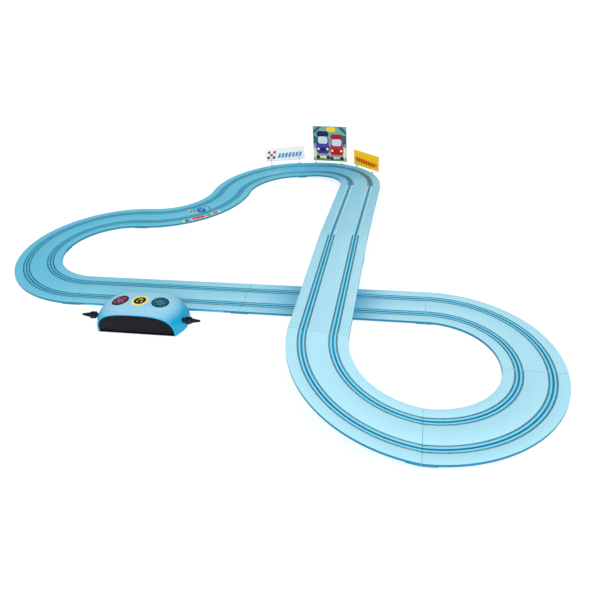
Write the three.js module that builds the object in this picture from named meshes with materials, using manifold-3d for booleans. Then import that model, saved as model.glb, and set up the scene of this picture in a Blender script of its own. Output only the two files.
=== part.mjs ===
// Slot car track set: a figure of eight with a bridge, made of straight and curved track sections,
// with a battery housing beside the power section, two plugs, three boards on posts and four
// bridge supports.  Millimetres, +Z up, table top at z = 0.
import * as THREE from "three";
import { mergeVertices } from "three/addons/utils/BufferGeometryUtils.js";
import Module from "manifold-3d";

const wasm = await Module();
wasm.setup();

// ---------------------------------------------------------------- driving dimensions

// Track sections
const CURVE_RADIUS = 171; // centre line of every curve
const STRAIGHT_LENGTH = 2 * CURVE_RADIUS;
const TRACK_WIDTH = 100;
const TRACK_HEIGHT = 6.2; // table to driving surface
const DECK_THICKNESS = 2;
const SKIRT_THICKNESS = 1.8;
const LANE_OFFSET = TRACK_WIDTH / 4; // slot centre from the centre line
const SLOT_WIDTH = 3;
const SLOT_DEPTH = 4;
const SLOT_WALL = 1;
const RAIL_OFFSET = 6; // conductor rail centre from slot centre
const RAIL_WIDTH = 2.6;
const RAIL_HEIGHT = 1.1;
const GAP = 0.3; // between pieces that touch
const CURVE_STEPS = 10;
const RAMP_STEPS = 6;

// Joining tongues: two under each section's leading end
const TONGUE_WIDTH = 8;
const TONGUE_OFFSET = 9;
const TONGUE_ROOT = 8;
const TONGUE_REACH = 10;
const TONGUE_TOP = -2.9; // below the driving surface
const TONGUE_THICKNESS = 1.2;

// Bridge supports
const SUPPORT_WIDTH = 76;
const SUPPORT_DEPTH = 12;
const SUPPORT_LEG = 9;
const SUPPORT_BAR = 5;
const FOOT_WIDTH = 84;
const FOOT_DEPTH = 30;
const FOOT_HEIGHT = 3;
const PEG_OFFSET = 35; // pegs that stand inside the track's skirts
const PEG_WIDTH = 4;
const PEG_HEIGHT = 3.2;

// Battery housing; its local y runs back from the front edge towards the track
const HOUSING_FRONT_HALF_WIDTH = 75;
const HOUSING_HALF_WIDTH = 86;
const HOUSING_FRONT_HEIGHT = 41;
const HOUSING_HEIGHT = 46;
const HOUSING_DEPTH = 82.6; // to where its rounding would close
const HOUSING_BACK = HOUSING_DEPTH - 0.5; // to its flat back face
const HOUSING_WIDEST = 37; // depth at which it is widest and highest
const HOUSING_WALL = 2.4;
const ARCH_POWER = 3; // superellipse exponent of the cross-section

// Base tray inside the housing's foot
const TRAY_THICKNESS = 2;
const TRAY_FRONT = 0.5;
const TRAY_BACK = HOUSING_DEPTH - 14;
const TRAY_INSET = 3 * GAP;
const BAY_WALL_X = 53; // inner face of the walls beside the cells
const BAY_WALL_THICKNESS = 2;
const BAY_WALL_DEPTHS = [7, 60];
const BAY_WALL_HEIGHT = 22;

// Tray screws and the shell's bosses that take them
const SCREW_X = 68;
const SCREW_DEPTHS = [12, 61];
const SCREW_FOOT = 0.4; // head's underside above the table
const SCREW_PROFILE = [[0, 0], [2.8, 0], [2.8, 1.6], [1.3, 1.6], [1.3, 12], [0, 13]];
const HEAD_RECESS_RADIUS = 3.2;
const HEAD_RECESS_TOP = 2.2;
const SHANK_HOLE_RADIUS = 1.6;
const PAD_RADIUS = 4.5;
const PAD_HEIGHT = 4;
const BOSS_RADIUS = 3.4;
const BOSS_HOLE_TOP = 18;

// Battery door and its hinge at the foot
const DOOR_SETBACK = 1.5;
const DOOR_THICKNESS = 2.5;
const DOOR_BOTTOM = 3.4;
const DOOR_SIDE_CLEARANCE = 2 * GAP;
const DOOR_TOP_CLEARANCE = 2.5 * GAP;
const SLIT_INNER_X = 7.5; // slits on both sides of the snap tab
const SLIT_WIDTH = 1.2;
const SLIT_FOOT = 29;
const LEDGE_HALF_WIDTH = 5; // thumb ledge on the snap tab
const LEDGE_HEIGHTS = [31, 32.6];
const LEDGE_REACH = 0.9;
const HINGE_DEPTH = 3.2;
const HINGE_HEIGHT = 4.6;
const HINGE_BARREL_RADIUS = 1.9;
const HINGE_PIN_RADIUS = 1.3;
const HINGE_BORE_RADIUS = 1.5;
const BARREL_END = 66;
const EAR_X = 58.5;
const EAR_THICKNESS = 3;
const EAR_DEPTHS = [0.6, 6];
const EAR_HEIGHT = 7.5;
const EAR_CLEARANCE = 0.5; // between an ear and the door on each side

// Battery cells, two rows of two, lying across the housing
const CELL_RADIUS = 12.9;
const CELL_BODY = 47.5;
const CELL_NUB_RADIUS = 3.2;
const CELL_NUB = 1.8;
const CELL_ROWS = [19, 46.4]; // depth of each row
const CELL_HEIGHT = 15.4;
const CELL_LENGTH = CELL_BODY + CELL_NUB;
const CONTACT_X = 52.2;
const CONTACT_THICKNESS = 0.5;
const CONTACT_HEIGHTS = [8, 21];
const CONTACT_HALF_DEPTH = 8;
const SPRING_WIRE_RADIUS = 0.4;
const SPRING_WIDE_RADIUS = 6.5;
const SPRING_NARROW_RADIUS = 3.5;
const SPRING_TURNS = 3;

// Controller plugs, one in each side of the housing
const PLUG_DEPTH = 27;
const PLUG_HEIGHT = 18;
const SOCKET_INNER = 62;
const SOCKET_OUTER = 75.5;
const SOCKET_HALF_DEPTH = 5.5;
const SOCKET_TOP = PLUG_HEIGHT + 5;
const SOCKET_FLOOR = 1.5; // closed end of the socket's bore
const PLUG_HOLE_RADIUS = 4.8;
const PLUG_NECK_RADIUS = 4;
const PLUG_SHOULDER = 86.6;
const PLUG_END = 115;
const GRIP_DEPTH = 11.5;
const GRIP_HEIGHT = 10.5;
const GRIP_CORNER = 3;
const GRIP_LENGTH = 11;
const GRIP_END_BEVEL = 1.5;
const GRIP_SIDE_BEVEL = 1;
const SLEEVE_RADII = [2.2, 4.4]; // at the far end and at the grip
const PIN_RADIUS = 1.7;
const SOCKET_BORE_RADIUS = 2.2;

// Feed strips from the terminal board to the rails
const STRIP_THICKNESS = 0.4;
const STRIP_WIDTH = 3;
const STRIP_PITCH = 10;
const STRIP_NOTCH_HALF_WIDTH = 22;
const STRIP_NOTCH_HEIGHT = 3.5;
const STRIP_NOTCH_LENGTH = 12; // how far it cuts into the housing's back
const STRIP_UNDER_DECK = 0.8; // height of the strips under the track
const STRIP_TOP = 14;
const BOARD_DEPTH = 66;
const BOARD_THICKNESS = 1.6;
const BOARD_HALF_WIDTH = 48;
const BOARD_HEIGHTS = [2.4, 26];

// Boards beside the back curves, each in two posts that clip over the track's outer edge.  angle is
// the board's place round the curve in degrees, turn how far it is turned from facing the curve's
// centre, and lift how far its lower edge is above the higher of its posts' edge heights.
const SIGN_THICKNESS = 1.2;
const SIGNS = [
  {
    name: "low_white_sign", angle: 107.5, turn: -3.5, lift: 11,
    width: 113, height: 39, postSpan: 80, color: 0xf4f2ec,
  },
  {
    name: "tall_picture_sign", angle: 73, turn: 11, lift: 2.5,
    width: 97, height: 100, postSpan: 84, color: 0x6fa08c,
  },
  {
    name: "yellow_sign", angle: 38.5, turn: 12.5, lift: 2.5,
    width: 94, height: 42, postSpan: 76, color: 0xffc300,
  },
];
const POST_WIDTH = 3.2;
const POST_HALF_DEPTH = 1.7;
const POST_JAW_DEPTH = 12;
const POST_INSET = 3; // how far inside the track's edge a board's nearer post stands
const CLIP_HALF_WIDTH = 3.5;
const CLIP_LIFT = 0.9; // clears the driving surface where it slopes
const CLIP_THICKNESS = 1.2;
const CLIP_GRIP = 5; // how far it reaches in over the deck
const CLIP_SKIRT_THICKNESS = 1.4;
const CLIP_FOOT = 1; // its lower end above the table on a level section

// The course in driving order.  turn: +1 left, -1 right, 0 straight.  rise and bank belong to the
// section's trailing end: rise lifts the driving surface, bank is its slope towards the left side.
const COURSE = [
  { name: "power_straight", turn: 0, rise: 0, bank: 0 },
  { name: "underpass_straight", turn: 0, rise: 0, bank: 0 },
  { name: "loop_entry_curve", turn: -1, rise: 0, bank: 0 },
  { name: "loop_front_curve", turn: -1, rise: 0, bank: 0 },
  { name: "ramp_curve", turn: -1, rise: 10, bank: -0.073 },
  { name: "bridge_straight", turn: 0, rise: 51, bank: 0.116 },
  { name: "descent_straight", turn: 0, rise: 55, bank: 0 },
  { name: "descent_curve", turn: 1, rise: 24, bank: 0.03 },
  { name: "back_curve", turn: 1, rise: 0, bank: 0 },
  { name: "s_bend_curve", turn: -1, rise: 0, bank: 0 },
  { name: "side_curve", turn: 1, rise: 0, bank: 0 },
  { name: "return_curve", turn: 1, rise: 0, bank: 0 },
];

// ---------------------------------------------------------------- materials

const plastic = (color, roughness = 0.45) => new THREE.MeshStandardMaterial({ color, roughness });
const metal = (color, roughness = 0.3) =>
  new THREE.MeshStandardMaterial({ color, roughness, metalness: 1 });
const TRACK_BLUE = plastic(0x8fd3e6);
const HOUSING_BLUE = plastic(0x6cc4e6, 0.35);
const BLACK = plastic(0x17191d, 0.5);
const SUPPORT_BLUE = plastic(0x7cc3dc);
const CLEAR_WHITE = plastic(0xe6eceb, 0.3);
const BOARD_GREEN = plastic(0x2e6b45, 0.5);
const STEEL = metal(0x8f9698);
const BRASS = metal(0xb8985a);
const CELL_JACKET = plastic(0x3a3d44, 0.3);

// ---------------------------------------------------------------- solids

// A closed geometry as a solid that can be joined and cut.
function solid(geometry) {
  const bare = new THREE.BufferGeometry();
  bare.setAttribute("position", geometry.getAttribute("position"));
  bare.setIndex(geometry.index);
  const merged = mergeVertices(bare, 1e-4);
  return new wasm.Manifold(
    new wasm.Mesh({
      numProp: 3,
      vertProperties: merged.getAttribute("position").array,
      triVerts: new Uint32Array(merged.index.array),
    }),
  );
}

function join(...geometries) {
  return toGeometry(geometries.map(solid).reduce((whole, piece) => whole.add(piece)));
}

function cut(geometry, ...tools) {
  return toGeometry(tools.map(solid).reduce((rest, tool) => rest.subtract(tool), solid(geometry)));
}

function overlapOf(first, second) {
  return toGeometry(solid(first).intersect(solid(second)));
}

function toGeometry(manifold) {
  const mesh = manifold.getMesh();
  const geometry = new THREE.BufferGeometry();
  geometry.setAttribute("position", new THREE.BufferAttribute(new Float32Array(mesh.vertProperties), 3));
  geometry.setIndex(new THREE.BufferAttribute(new Uint32Array(mesh.triVerts), 1));
  geometry.computeVertexNormals();
  return geometry;
}

// A box given by its lowest and highest corners.
function box(low, high) {
  const size = high.map((value, i) => value - low[i]);
  const middle = high.map((value, i) => (value + low[i]) / 2);
  return new THREE.BoxGeometry(...size).translate(...middle);
}

// A cylinder along X, from one x to another.
function rodAlongX(radius, fromX, toX, y, z, sides = 16) {
  const rod = new THREE.CylinderGeometry(radius, radius, Math.abs(toX - fromX), sides);
  return rod.rotateZ(Math.PI / 2).translate((fromX + toX) / 2, y, z);
}

// An upright cylinder, from one z to another.
function post(radius, x, y, fromZ, toZ, sides = 16) {
  const rod = new THREE.CylinderGeometry(radius, radius, toZ - fromZ, sides);
  return rod.rotateX(Math.PI / 2).translate(x, y, (fromZ + toZ) / 2);
}

function shapeOf(points) {
  return new THREE.Shape(points.map(([x, y]) => new THREE.Vector2(x, y)));
}

function extrude(shape, depth, steps = 1) {
  return new THREE.ExtrudeGeometry(shape, { depth, steps, bevelEnabled: false });
}

// Moves every vertex of a geometry to where place(x, y, z) says.
function reshape(geometry, place) {
  const position = geometry.getAttribute("position");
  for (let i = 0; i < position.count; i++) {
    const [x, y, z] = place(position.getX(i), position.getY(i), position.getZ(i));
    position.setXYZ(i, x, y, z);
  }
  return geometry;
}

const set = new THREE.Group();

function addMesh(name, geometry, material, parent = set) {
  const mesh = new THREE.Mesh(geometry, material);
  mesh.name = name;
  parent.add(mesh);
  return mesh;
}

// ---------------------------------------------------------------- the course

// Works out where each section starts, in which direction it runs and how long it is.
function layOutCourse() {
  let x = -2 * STRAIGHT_LENGTH;
  let y = CURVE_RADIUS;
  let heading = 0;
  let start = 0;
  COURSE.forEach((section, i) => {
    const next = COURSE[(i + 1) % COURSE.length];
    const quarter = (Math.PI / 2) * section.turn;
    const length = section.turn ? (Math.PI / 2) * CURVE_RADIUS : STRAIGHT_LENGTH;
    Object.assign(section, { x, y, heading, start, length, next });
    if (section.turn) {
      section.centre = sideways(x, y, heading, section.turn * CURVE_RADIUS);
      heading += quarter;
      [x, y] = sideways(...section.centre, heading, -section.turn * CURVE_RADIUS);
    } else {
      x += length * Math.cos(heading);
      y += length * Math.sin(heading);
    }
    start += length;
  });
  return start;
}

// The point a distance to the left of another, seen along a heading.
function sideways(x, y, heading, left) {
  return [x - left * Math.sin(heading), y + left * Math.cos(heading)];
}

const COURSE_LENGTH = layOutCourse();

// The driving surface at a distance along the course and across to the left of its centre line.
function surfacePoint(distance, across) {
  const wrapped = (distance + COURSE_LENGTH) % COURSE_LENGTH;
  const section = COURSE.findLast((candidate) => candidate.start <= wrapped);
  const along = wrapped - section.start;
  const fraction = along / section.length;
  const rise = THREE.MathUtils.lerp(section.rise, section.next.rise, fraction);
  const bank = THREE.MathUtils.lerp(section.bank, section.next.bank, fraction);
  const z = TRACK_HEIGHT + rise + bank * across;
  if (section.turn) {
    const heading = section.heading + (section.turn * along) / CURVE_RADIUS;
    const left = across - section.turn * CURVE_RADIUS;
    return [...sideways(...section.centre, heading, left), z, heading];
  }
  const x = section.x + along * Math.cos(section.heading);
  const y = section.y + along * Math.sin(section.heading);
  return [...sideways(x, y, section.heading, across), z, section.heading];
}

// Bends a straight solid onto the course: x is across to the left, y is height above the driving
// surface, z is along.
function onCourse(geometry, start) {
  return reshape(geometry, (across, height, along) => {
    const [x, y, z] = surfacePoint(start + along, across);
    return [x, y, z + height];
  });
}

// ---------------------------------------------------------------- track sections

// Cross-section of a track section: a deck with two skirts and, under each lane, a slot channel.
function trackProfile(withRailGrooves) {
  const half = TRACK_WIDTH / 2;
  const top = [[-half, -TRACK_HEIGHT], [-half, 0]];
  const underside = [[half, -TRACK_HEIGHT], [half - SKIRT_THICKNESS, -TRACK_HEIGHT]];
  underside.push([half - SKIRT_THICKNESS, -DECK_THICKNESS]);
  for (const lane of [-LANE_OFFSET, LANE_OFFSET]) {
    if (withRailGrooves) top.push(...notch(lane - RAIL_OFFSET, RAIL_WIDTH + 2 * GAP, RAIL_HEIGHT));
    top.push(...notch(lane, SLOT_WIDTH, SLOT_DEPTH));
    if (withRailGrooves) top.push(...notch(lane + RAIL_OFFSET, RAIL_WIDTH + 2 * GAP, RAIL_HEIGHT));
    const channel = SLOT_WIDTH / 2 + SLOT_WALL;
    underside.push(
      [-lane + channel, -DECK_THICKNESS],
      [-lane + channel, -SLOT_DEPTH - SLOT_WALL],
      [-lane - channel, -SLOT_DEPTH - SLOT_WALL],
      [-lane - channel, -DECK_THICKNESS],
    );
  }
  top.push([half, 0]);
  underside.push([-half + SKIRT_THICKNESS, -DECK_THICKNESS], [-half + SKIRT_THICKNESS, -TRACK_HEIGHT]);
  return shapeOf([...top, ...underside]);
}

// The four corners of a groove cut into the driving surface, from left to right.
function notch(middle, width, depth) {
  const left = middle - width / 2;
  const right = middle + width / 2;
  return [[left, 0], [left, -depth], [right, -depth], [right, 0]];
}

// One of the two tongues that reach under the next section's deck.
function tongue(section, across) {
  const left = across - TONGUE_WIDTH / 2;
  const right = across + TONGUE_WIDTH / 2;
  const bottom = TONGUE_TOP - TONGUE_THICKNESS;
  const end = section.start + section.length - GAP / 2;
  const root = shapeOf([[left, bottom], [right, bottom], [right, -1], [left, -1]]);
  const blade = shapeOf([[left, bottom], [right, bottom], [right, TONGUE_TOP], [left, TONGUE_TOP]]);
  return [
    onCourse(extrude(root, TONGUE_ROOT), end - TONGUE_ROOT),
    onCourse(extrude(blade, TONGUE_ROOT + TONGUE_REACH), end - TONGUE_ROOT / 2),
  ];
}

// Steps a section needs along its length: curves and twisted straights need several.
function stepsFor(section) {
  if (section.turn) return CURVE_STEPS;
  return section.rise || section.next.rise ? RAMP_STEPS : 1;
}

function trackSection(section) {
  const isPowered = section.name === "power_straight";
  const length = section.length - GAP;
  const bar = extrude(trackProfile(isPowered), length, stepsFor(section));
  const deck = onCourse(bar, section.start + GAP / 2);
  const tongues = [-TONGUE_OFFSET, TONGUE_OFFSET].flatMap((across) => tongue(section, across));
  const whole = join(deck, ...tongues);
  if (!isPowered) return whole;
  // a notch in the near skirt lets the feed strips through
  const middle = section.x + section.length / 2;
  const skirt = section.y - TRACK_WIDTH / 2;
  return cut(
    whole,
    box(
      [middle - STRIP_NOTCH_HALF_WIDTH, skirt - 1, -1],
      [middle + STRIP_NOTCH_HALF_WIDTH, skirt + SKIRT_THICKNESS + 1, STRIP_NOTCH_HEIGHT],
    ),
  );
}

function addTrack() {
  for (const section of COURSE) addMesh(section.name, trackSection(section), TRACK_BLUE);
}

const RAIL_ACROSS = [-LANE_OFFSET, LANE_OFFSET].flatMap((lane) => [lane - RAIL_OFFSET, lane + RAIL_OFFSET]);

// The four conductor rails pressed into the power section's grooves.
function addPowerRails() {
  const section = COURSE[0];
  const length = section.length - 2 * GAP;
  RAIL_ACROSS.forEach((across, i) => {
    const half = RAIL_WIDTH / 2;
    const bottom = GAP - RAIL_HEIGHT;
    const rail = shapeOf([
      [across - half, bottom],
      [across + half, bottom],
      [across + half, 0],
      [across - half, 0],
    ]);
    addMesh("power_rail_" + (i + 1), onCourse(extrude(rail, length), section.start + GAP), STEEL);
  });
}

// ---------------------------------------------------------------- bridge supports

// A trestle under the seam where a section starts, shaped across the track and extruded along it.
function support(section) {
  const half = SUPPORT_WIDTH / 2;
  const topAt = (across) => section.rise + section.bank * across - GAP;
  const frame = shapeOf([[-half, 0], [half, 0], [half, topAt(half)], [-half, topAt(-half)]]);
  const inner = half - SUPPORT_LEG;
  if (section.rise > 4 * SUPPORT_BAR) {
    const window = [
      [-inner, FOOT_HEIGHT],
      [-inner, topAt(-inner) - SUPPORT_BAR],
      [inner, topAt(inner) - SUPPORT_BAR],
      [inner, FOOT_HEIGHT],
    ];
    frame.holes.push(new THREE.Path(window.map(([x, y]) => new THREE.Vector2(x, y))));
  }
  const trestle = extrude(frame, SUPPORT_DEPTH).translate(0, 0, -SUPPORT_DEPTH / 2);
  const footHalf = FOOT_WIDTH / 2;
  const foot = box([-footHalf, 0, -FOOT_DEPTH / 2], [footHalf, FOOT_HEIGHT, FOOT_DEPTH / 2]);
  const pegs = [-PEG_OFFSET, PEG_OFFSET].map((across) => {
    const base = topAt(across);
    const low = [across - PEG_WIDTH / 2, base - 2, -SUPPORT_DEPTH / 4];
    return box(low, [across + PEG_WIDTH / 2, base + PEG_HEIGHT, SUPPORT_DEPTH / 4]);
  });
  const [x, y, , heading] = surfacePoint(section.start, 0);
  // x across, y up, z along, turned to stand on the table and look along the course
  const stand = new THREE.Matrix4().makeBasis(
    new THREE.Vector3(-Math.sin(heading), Math.cos(heading), 0),
    new THREE.Vector3(0, 0, 1),
    new THREE.Vector3(Math.cos(heading), Math.sin(heading), 0),
  );
  return join(trestle, foot, ...pegs).applyMatrix4(stand.setPosition(x, y, 0));
}

function addSupports() {
  const places = {
    ramp_support: "ramp_curve",
    bridge_front_support: "bridge_straight",
    bridge_back_support: "descent_straight",
    descent_support: "descent_curve",
  };
  for (const [name, above] of Object.entries(places)) {
    const section = COURSE.find((candidate) => candidate.name === above);
    addMesh(name, support(section), SUPPORT_BLUE);
  }
}

// ---------------------------------------------------------------- battery housing

// A rounded edge: full size at 0, nothing at 1.
function roundedOff(fraction, power) {
  return (1 - fraction ** power) ** (1 / power);
}

// Half-width and height of the housing's outside at a depth behind its front edge.
function housingSize(depth) {
  if (depth < HOUSING_WIDEST) {
    const swell = Math.sin((Math.PI / 2) * Math.max(depth / HOUSING_WIDEST, 0));
    return {
      halfWidth: THREE.MathUtils.lerp(HOUSING_FRONT_HALF_WIDTH, HOUSING_HALF_WIDTH, swell),
      height: THREE.MathUtils.lerp(HOUSING_FRONT_HEIGHT, HOUSING_HEIGHT, swell),
    };
  }
  const fraction = (depth - HOUSING_WIDEST) / (HOUSING_DEPTH - HOUSING_WIDEST);
  return {
    halfWidth: HOUSING_HALF_WIDTH * roundedOff(fraction, 3.5),
    height: HOUSING_HEIGHT * roundedOff(fraction, 5),
  };
}

// An arch of unit half-width and height, with legs that reach a little below its base.
function unitArch(legs, steps = 16) {
  const points = [[1, -legs]];
  for (let i = 0; i <= steps; i++) {
    const angle = (Math.PI * i) / steps;
    const cosine = Math.cos(angle);
    points.push([
      Math.sign(cosine) * Math.abs(cosine) ** (2 / ARCH_POWER),
      Math.sin(angle) ** (2 / ARCH_POWER),
    ]);
  }
  points.push([-1, -legs]);
  return points;
}

// The housing's dome, drawn in by an inset, from a depth to just before the back edge.
function dome(inset, frontDepth, legs) {
  const steps = 12;
  const block = extrude(shapeOf(unitArch(legs)), 1, steps);
  return reshape(block, (x, y, z) => {
    const outer = frontDepth + (HOUSING_BACK - frontDepth) * Math.sin((Math.PI / 2) * z);
    const { halfWidth, height } = housingSize(outer);
    const depth = outer - (inset * Math.max(outer, 0)) / HOUSING_BACK;
    return [-x * (halfWidth - inset), depth, y * (height - inset)];
  });
}

// Half-width of the hollow inside the shell at a depth.
function hollowHalfWidth(depth) {
  const outer = (depth * HOUSING_BACK) / (HOUSING_BACK - HOUSING_WALL);
  return housingSize(outer).halfWidth - HOUSING_WALL;
}

function housingShell() {
  const outside = dome(0, 0, 0);
  const hollow = dome(HOUSING_WALL, -4, 0.1);
  const bosses = screwPlaces().map(([x, depth]) => {
    return overlapOf(post(BOSS_RADIUS, x, depth, PAD_HEIGHT + GAP, HOUSING_HEIGHT), outside);
  });
  const bossHoles = screwPlaces().map(([x, depth]) => {
    return post(SHANK_HOLE_RADIUS, x, depth, PAD_HEIGHT - 1, BOSS_HOLE_TOP, 10);
  });
  const plugHoles = [-1, 1].map((side) => {
    const ends = [side * (SOCKET_OUTER - 3), side * (HOUSING_HALF_WIDTH + 9)];
    return rodAlongX(PLUG_HOLE_RADIUS, ...ends, PLUG_DEPTH, PLUG_HEIGHT, 20);
  });
  const feedNotch = box(
    [-STRIP_NOTCH_HALF_WIDTH, HOUSING_DEPTH - STRIP_NOTCH_LENGTH, -1],
    [STRIP_NOTCH_HALF_WIDTH, HOUSING_DEPTH + 1, STRIP_NOTCH_HEIGHT + 1],
  );
  return cut(join(cut(outside, hollow), ...bosses), ...bossHoles, ...plugHoles, feedNotch);
}

function screwPlaces() {
  return SCREW_DEPTHS.flatMap((depth) => [[-SCREW_X, depth], [SCREW_X, depth]]);
}

// The base tray: floor plate inside the shell, screw pads, hinge ears and the battery end walls.
function baseTray() {
  const samples = 10;
  const right = [];
  for (let i = 0; i <= samples; i++) {
    const depth = THREE.MathUtils.lerp(TRAY_FRONT, TRAY_BACK, i / samples);
    right.push([hollowHalfWidth(depth) - TRAY_INSET, depth]);
  }
  const left = right.map(([x, depth]) => [-x, depth]).reverse();
  const floor = extrude(shapeOf([...right, ...left]), TRAY_THICKNESS);
  const pads = screwPlaces().map(([x, depth]) => post(PAD_RADIUS, x, depth, 0, PAD_HEIGHT));
  const walls = [-1, 1].map((side) => {
    const [low, high] = inOrder(side * BAY_WALL_X, side * (BAY_WALL_X + BAY_WALL_THICKNESS));
    return box([low, BAY_WALL_DEPTHS[0], 1], [high, BAY_WALL_DEPTHS[1], BAY_WALL_HEIGHT]);
  });
  const half = EAR_THICKNESS / 2;
  const ears = [-EAR_X, EAR_X].map((x) => {
    return box([x - half, EAR_DEPTHS[0], 1], [x + half, EAR_DEPTHS[1], EAR_HEIGHT]);
  });
  const bores = [-EAR_X, EAR_X].map((x) => {
    return rodAlongX(HINGE_BORE_RADIUS, x - 2 * half, x + 2 * half, HINGE_DEPTH, HINGE_HEIGHT, 12);
  });
  const headRecesses = screwPlaces().map(([x, depth]) => {
    return post(HEAD_RECESS_RADIUS, x, depth, -1, HEAD_RECESS_TOP);
  });
  const shankHoles = screwPlaces().map(([x, depth]) => {
    return post(SHANK_HOLE_RADIUS, x, depth, -1, PAD_HEIGHT + 1, 10);
  });
  return cut(join(floor, ...pads, ...walls, ...ears), ...bores, ...headRecesses, ...shankHoles);
}

// Two numbers, the lower one first.
function inOrder(first, second) {
  return [Math.min(first, second), Math.max(first, second)];
}

// The arched battery door, with its hinge barrels and pins and, at the top, a snap tab between slits.
function batteryDoor() {
  const size = housingSize(DOOR_SETBACK);
  const halfWidth = HOUSING_FRONT_HALF_WIDTH - HOUSING_WALL - DOOR_SIDE_CLEARANCE;
  const height = size.height - HOUSING_WALL - DOOR_TOP_CLEARANCE;
  const outline = unitArch(0).map(([x, y]) => [x * halfWidth, Math.max(y * height, DOOR_BOTTOM)]);
  const ends = outline.slice(1, -1);
  const plate = extrude(shapeOf(ends), DOOR_THICKNESS)
    .rotateX(Math.PI / 2)
    .translate(0, DOOR_SETBACK + DOOR_THICKNESS, 0);
  const half = EAR_THICKNESS / 2 + EAR_CLEARANCE;
  const behind = DOOR_SETBACK + DOOR_THICKNESS + 1;
  const earNotches = [-EAR_X, EAR_X].map((x) => {
    return box([x - half, -1, 0], [x + half, behind, EAR_HEIGHT + 3 * EAR_CLEARANCE]);
  });
  const slits = [-1, 1].map((side) => {
    const [low, high] = inOrder(side * SLIT_INNER_X, side * (SLIT_INNER_X + SLIT_WIDTH));
    return box([low, 0, SLIT_FOOT], [high, behind, HOUSING_HEIGHT]);
  });
  const barrelEnd = EAR_X - half;
  const stubStart = EAR_X + half;
  const barrel = rodAlongX(HINGE_BARREL_RADIUS, -barrelEnd, barrelEnd, HINGE_DEPTH, HINGE_HEIGHT, 14);
  const stubs = [-1, 1].flatMap((side) => {
    const pinEnds = [side * (barrelEnd - 1), side * (stubStart + 1)];
    return [
      rodAlongX(HINGE_BARREL_RADIUS, side * stubStart, side * BARREL_END, HINGE_DEPTH, HINGE_HEIGHT, 14),
      rodAlongX(HINGE_PIN_RADIUS, ...pinEnds, HINGE_DEPTH, HINGE_HEIGHT, 12),
    ];
  });
  const thumbLedge = box(
    [-LEDGE_HALF_WIDTH, DOOR_SETBACK - LEDGE_REACH, LEDGE_HEIGHTS[0]],
    [LEDGE_HALF_WIDTH, DOOR_SETBACK + 1, LEDGE_HEIGHTS[1]],
  );
  return join(cut(plate, ...earNotches, ...slits), barrel, ...stubs, thumbLedge);
}

// A tray screw: pan head below, shank up into the shell's boss.
function screw() {
  return lathe(SCREW_PROFILE, 10).translate(0, 0, SCREW_FOOT);
}

// A solid of revolution about Z from [radius, z] pairs.
function lathe(profile, sides) {
  const points = profile.map(([radius, z]) => new THREE.Vector2(radius, z));
  return new THREE.LatheGeometry(points, sides).rotateX(Math.PI / 2);
}

// A battery cell lying along X with its positive nub on the +X side, starting at x = 0.
function cell() {
  const profile = [
    [0, 0],
    [CELL_RADIUS, 0],
    [CELL_RADIUS, CELL_BODY],
    [CELL_NUB_RADIUS, CELL_BODY],
    [CELL_NUB_RADIUS, CELL_LENGTH],
    [0, CELL_LENGTH],
  ];
  return lathe(profile, 18).rotateY(Math.PI / 2);
}

// A coil spring between a contact plate and a cell, along X from x = 0.
class ContactHelix extends THREE.Curve {
  constructor(length) {
    super();
    this.length = length;
  }
  getPoint(t, target = new THREE.Vector3()) {
    const angle = 2 * Math.PI * SPRING_TURNS * t;
    const radius = THREE.MathUtils.lerp(SPRING_WIDE_RADIUS, SPRING_NARROW_RADIUS, t);
    return target.set(this.length * t, radius * Math.cos(angle), radius * Math.sin(angle));
  }
}

function contactSpring(length) {
  const wire = new THREE.Shape().absarc(0, 0, SPRING_WIRE_RADIUS, 0, 2 * Math.PI);
  return new THREE.ExtrudeGeometry(wire, {
    extrudePath: new ContactHelix(length),
    steps: 10 * SPRING_TURNS,
    curveSegments: 3,
    bevelEnabled: false,
  });
}

function addCells(housing) {
  const rowStart = CONTACT_X - GAP - 2 * CELL_LENGTH - GAP;
  const springStart = CONTACT_X - GAP - SPRING_WIRE_RADIUS - 0.1;
  const springLength = rowStart + springStart - GAP - SPRING_WIRE_RADIUS - 0.1;
  // the front row points right and the back row left, so that the four cells are in series
  CELL_ROWS.forEach((depth, row) => {
    const way = row === 0 ? 1 : -1;
    for (const place of [0, 1]) {
      const start = rowStart + place * (CELL_LENGTH + GAP);
      const mesh = addMesh(`cell_${2 * row + place + 1}`, cell(), CELL_JACKET, housing);
      mesh.position.set(way * start, depth, CELL_HEIGHT);
      mesh.rotation.z = way > 0 ? 0 : Math.PI;
    }
    const spring = addMesh(`contact_spring_${row + 1}`, contactSpring(springLength), STEEL, housing);
    spring.position.set(-way * springStart, depth, CELL_HEIGHT);
    spring.rotation.z = way > 0 ? 0 : Math.PI;
  });
  const contactPlate = (side, frontRow, backRow) => {
    const [low, high] = inOrder(side * CONTACT_X, side * (CONTACT_X + CONTACT_THICKNESS));
    return box(
      [low, frontRow - CONTACT_HALF_DEPTH, CONTACT_HEIGHTS[0]],
      [high, backRow + CONTACT_HALF_DEPTH, CONTACT_HEIGHTS[1]],
    );
  };
  const [front, back] = CELL_ROWS;
  addMesh("link_contact_plate", contactPlate(-1, front, back), STEEL, housing);
  addMesh("positive_contact_plate", contactPlate(1, front, front), STEEL, housing);
  addMesh("negative_contact_plate", contactPlate(1, back, back), STEEL, housing);
}

// A socket inside the housing's right side: a block that stands on the tray, bored along X.
function socket() {
  const block = box(
    [SOCKET_INNER, PLUG_DEPTH - SOCKET_HALF_DEPTH, TRAY_THICKNESS + GAP],
    [SOCKET_OUTER, PLUG_DEPTH + SOCKET_HALF_DEPTH, SOCKET_TOP],
  );
  const ends = [SOCKET_INNER + SOCKET_FLOOR, SOCKET_OUTER + 1];
  const bore = rodAlongX(SOCKET_BORE_RADIUS, ...ends, PLUG_DEPTH, PLUG_HEIGHT, 14);
  return cut(block, bore);
}

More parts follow.
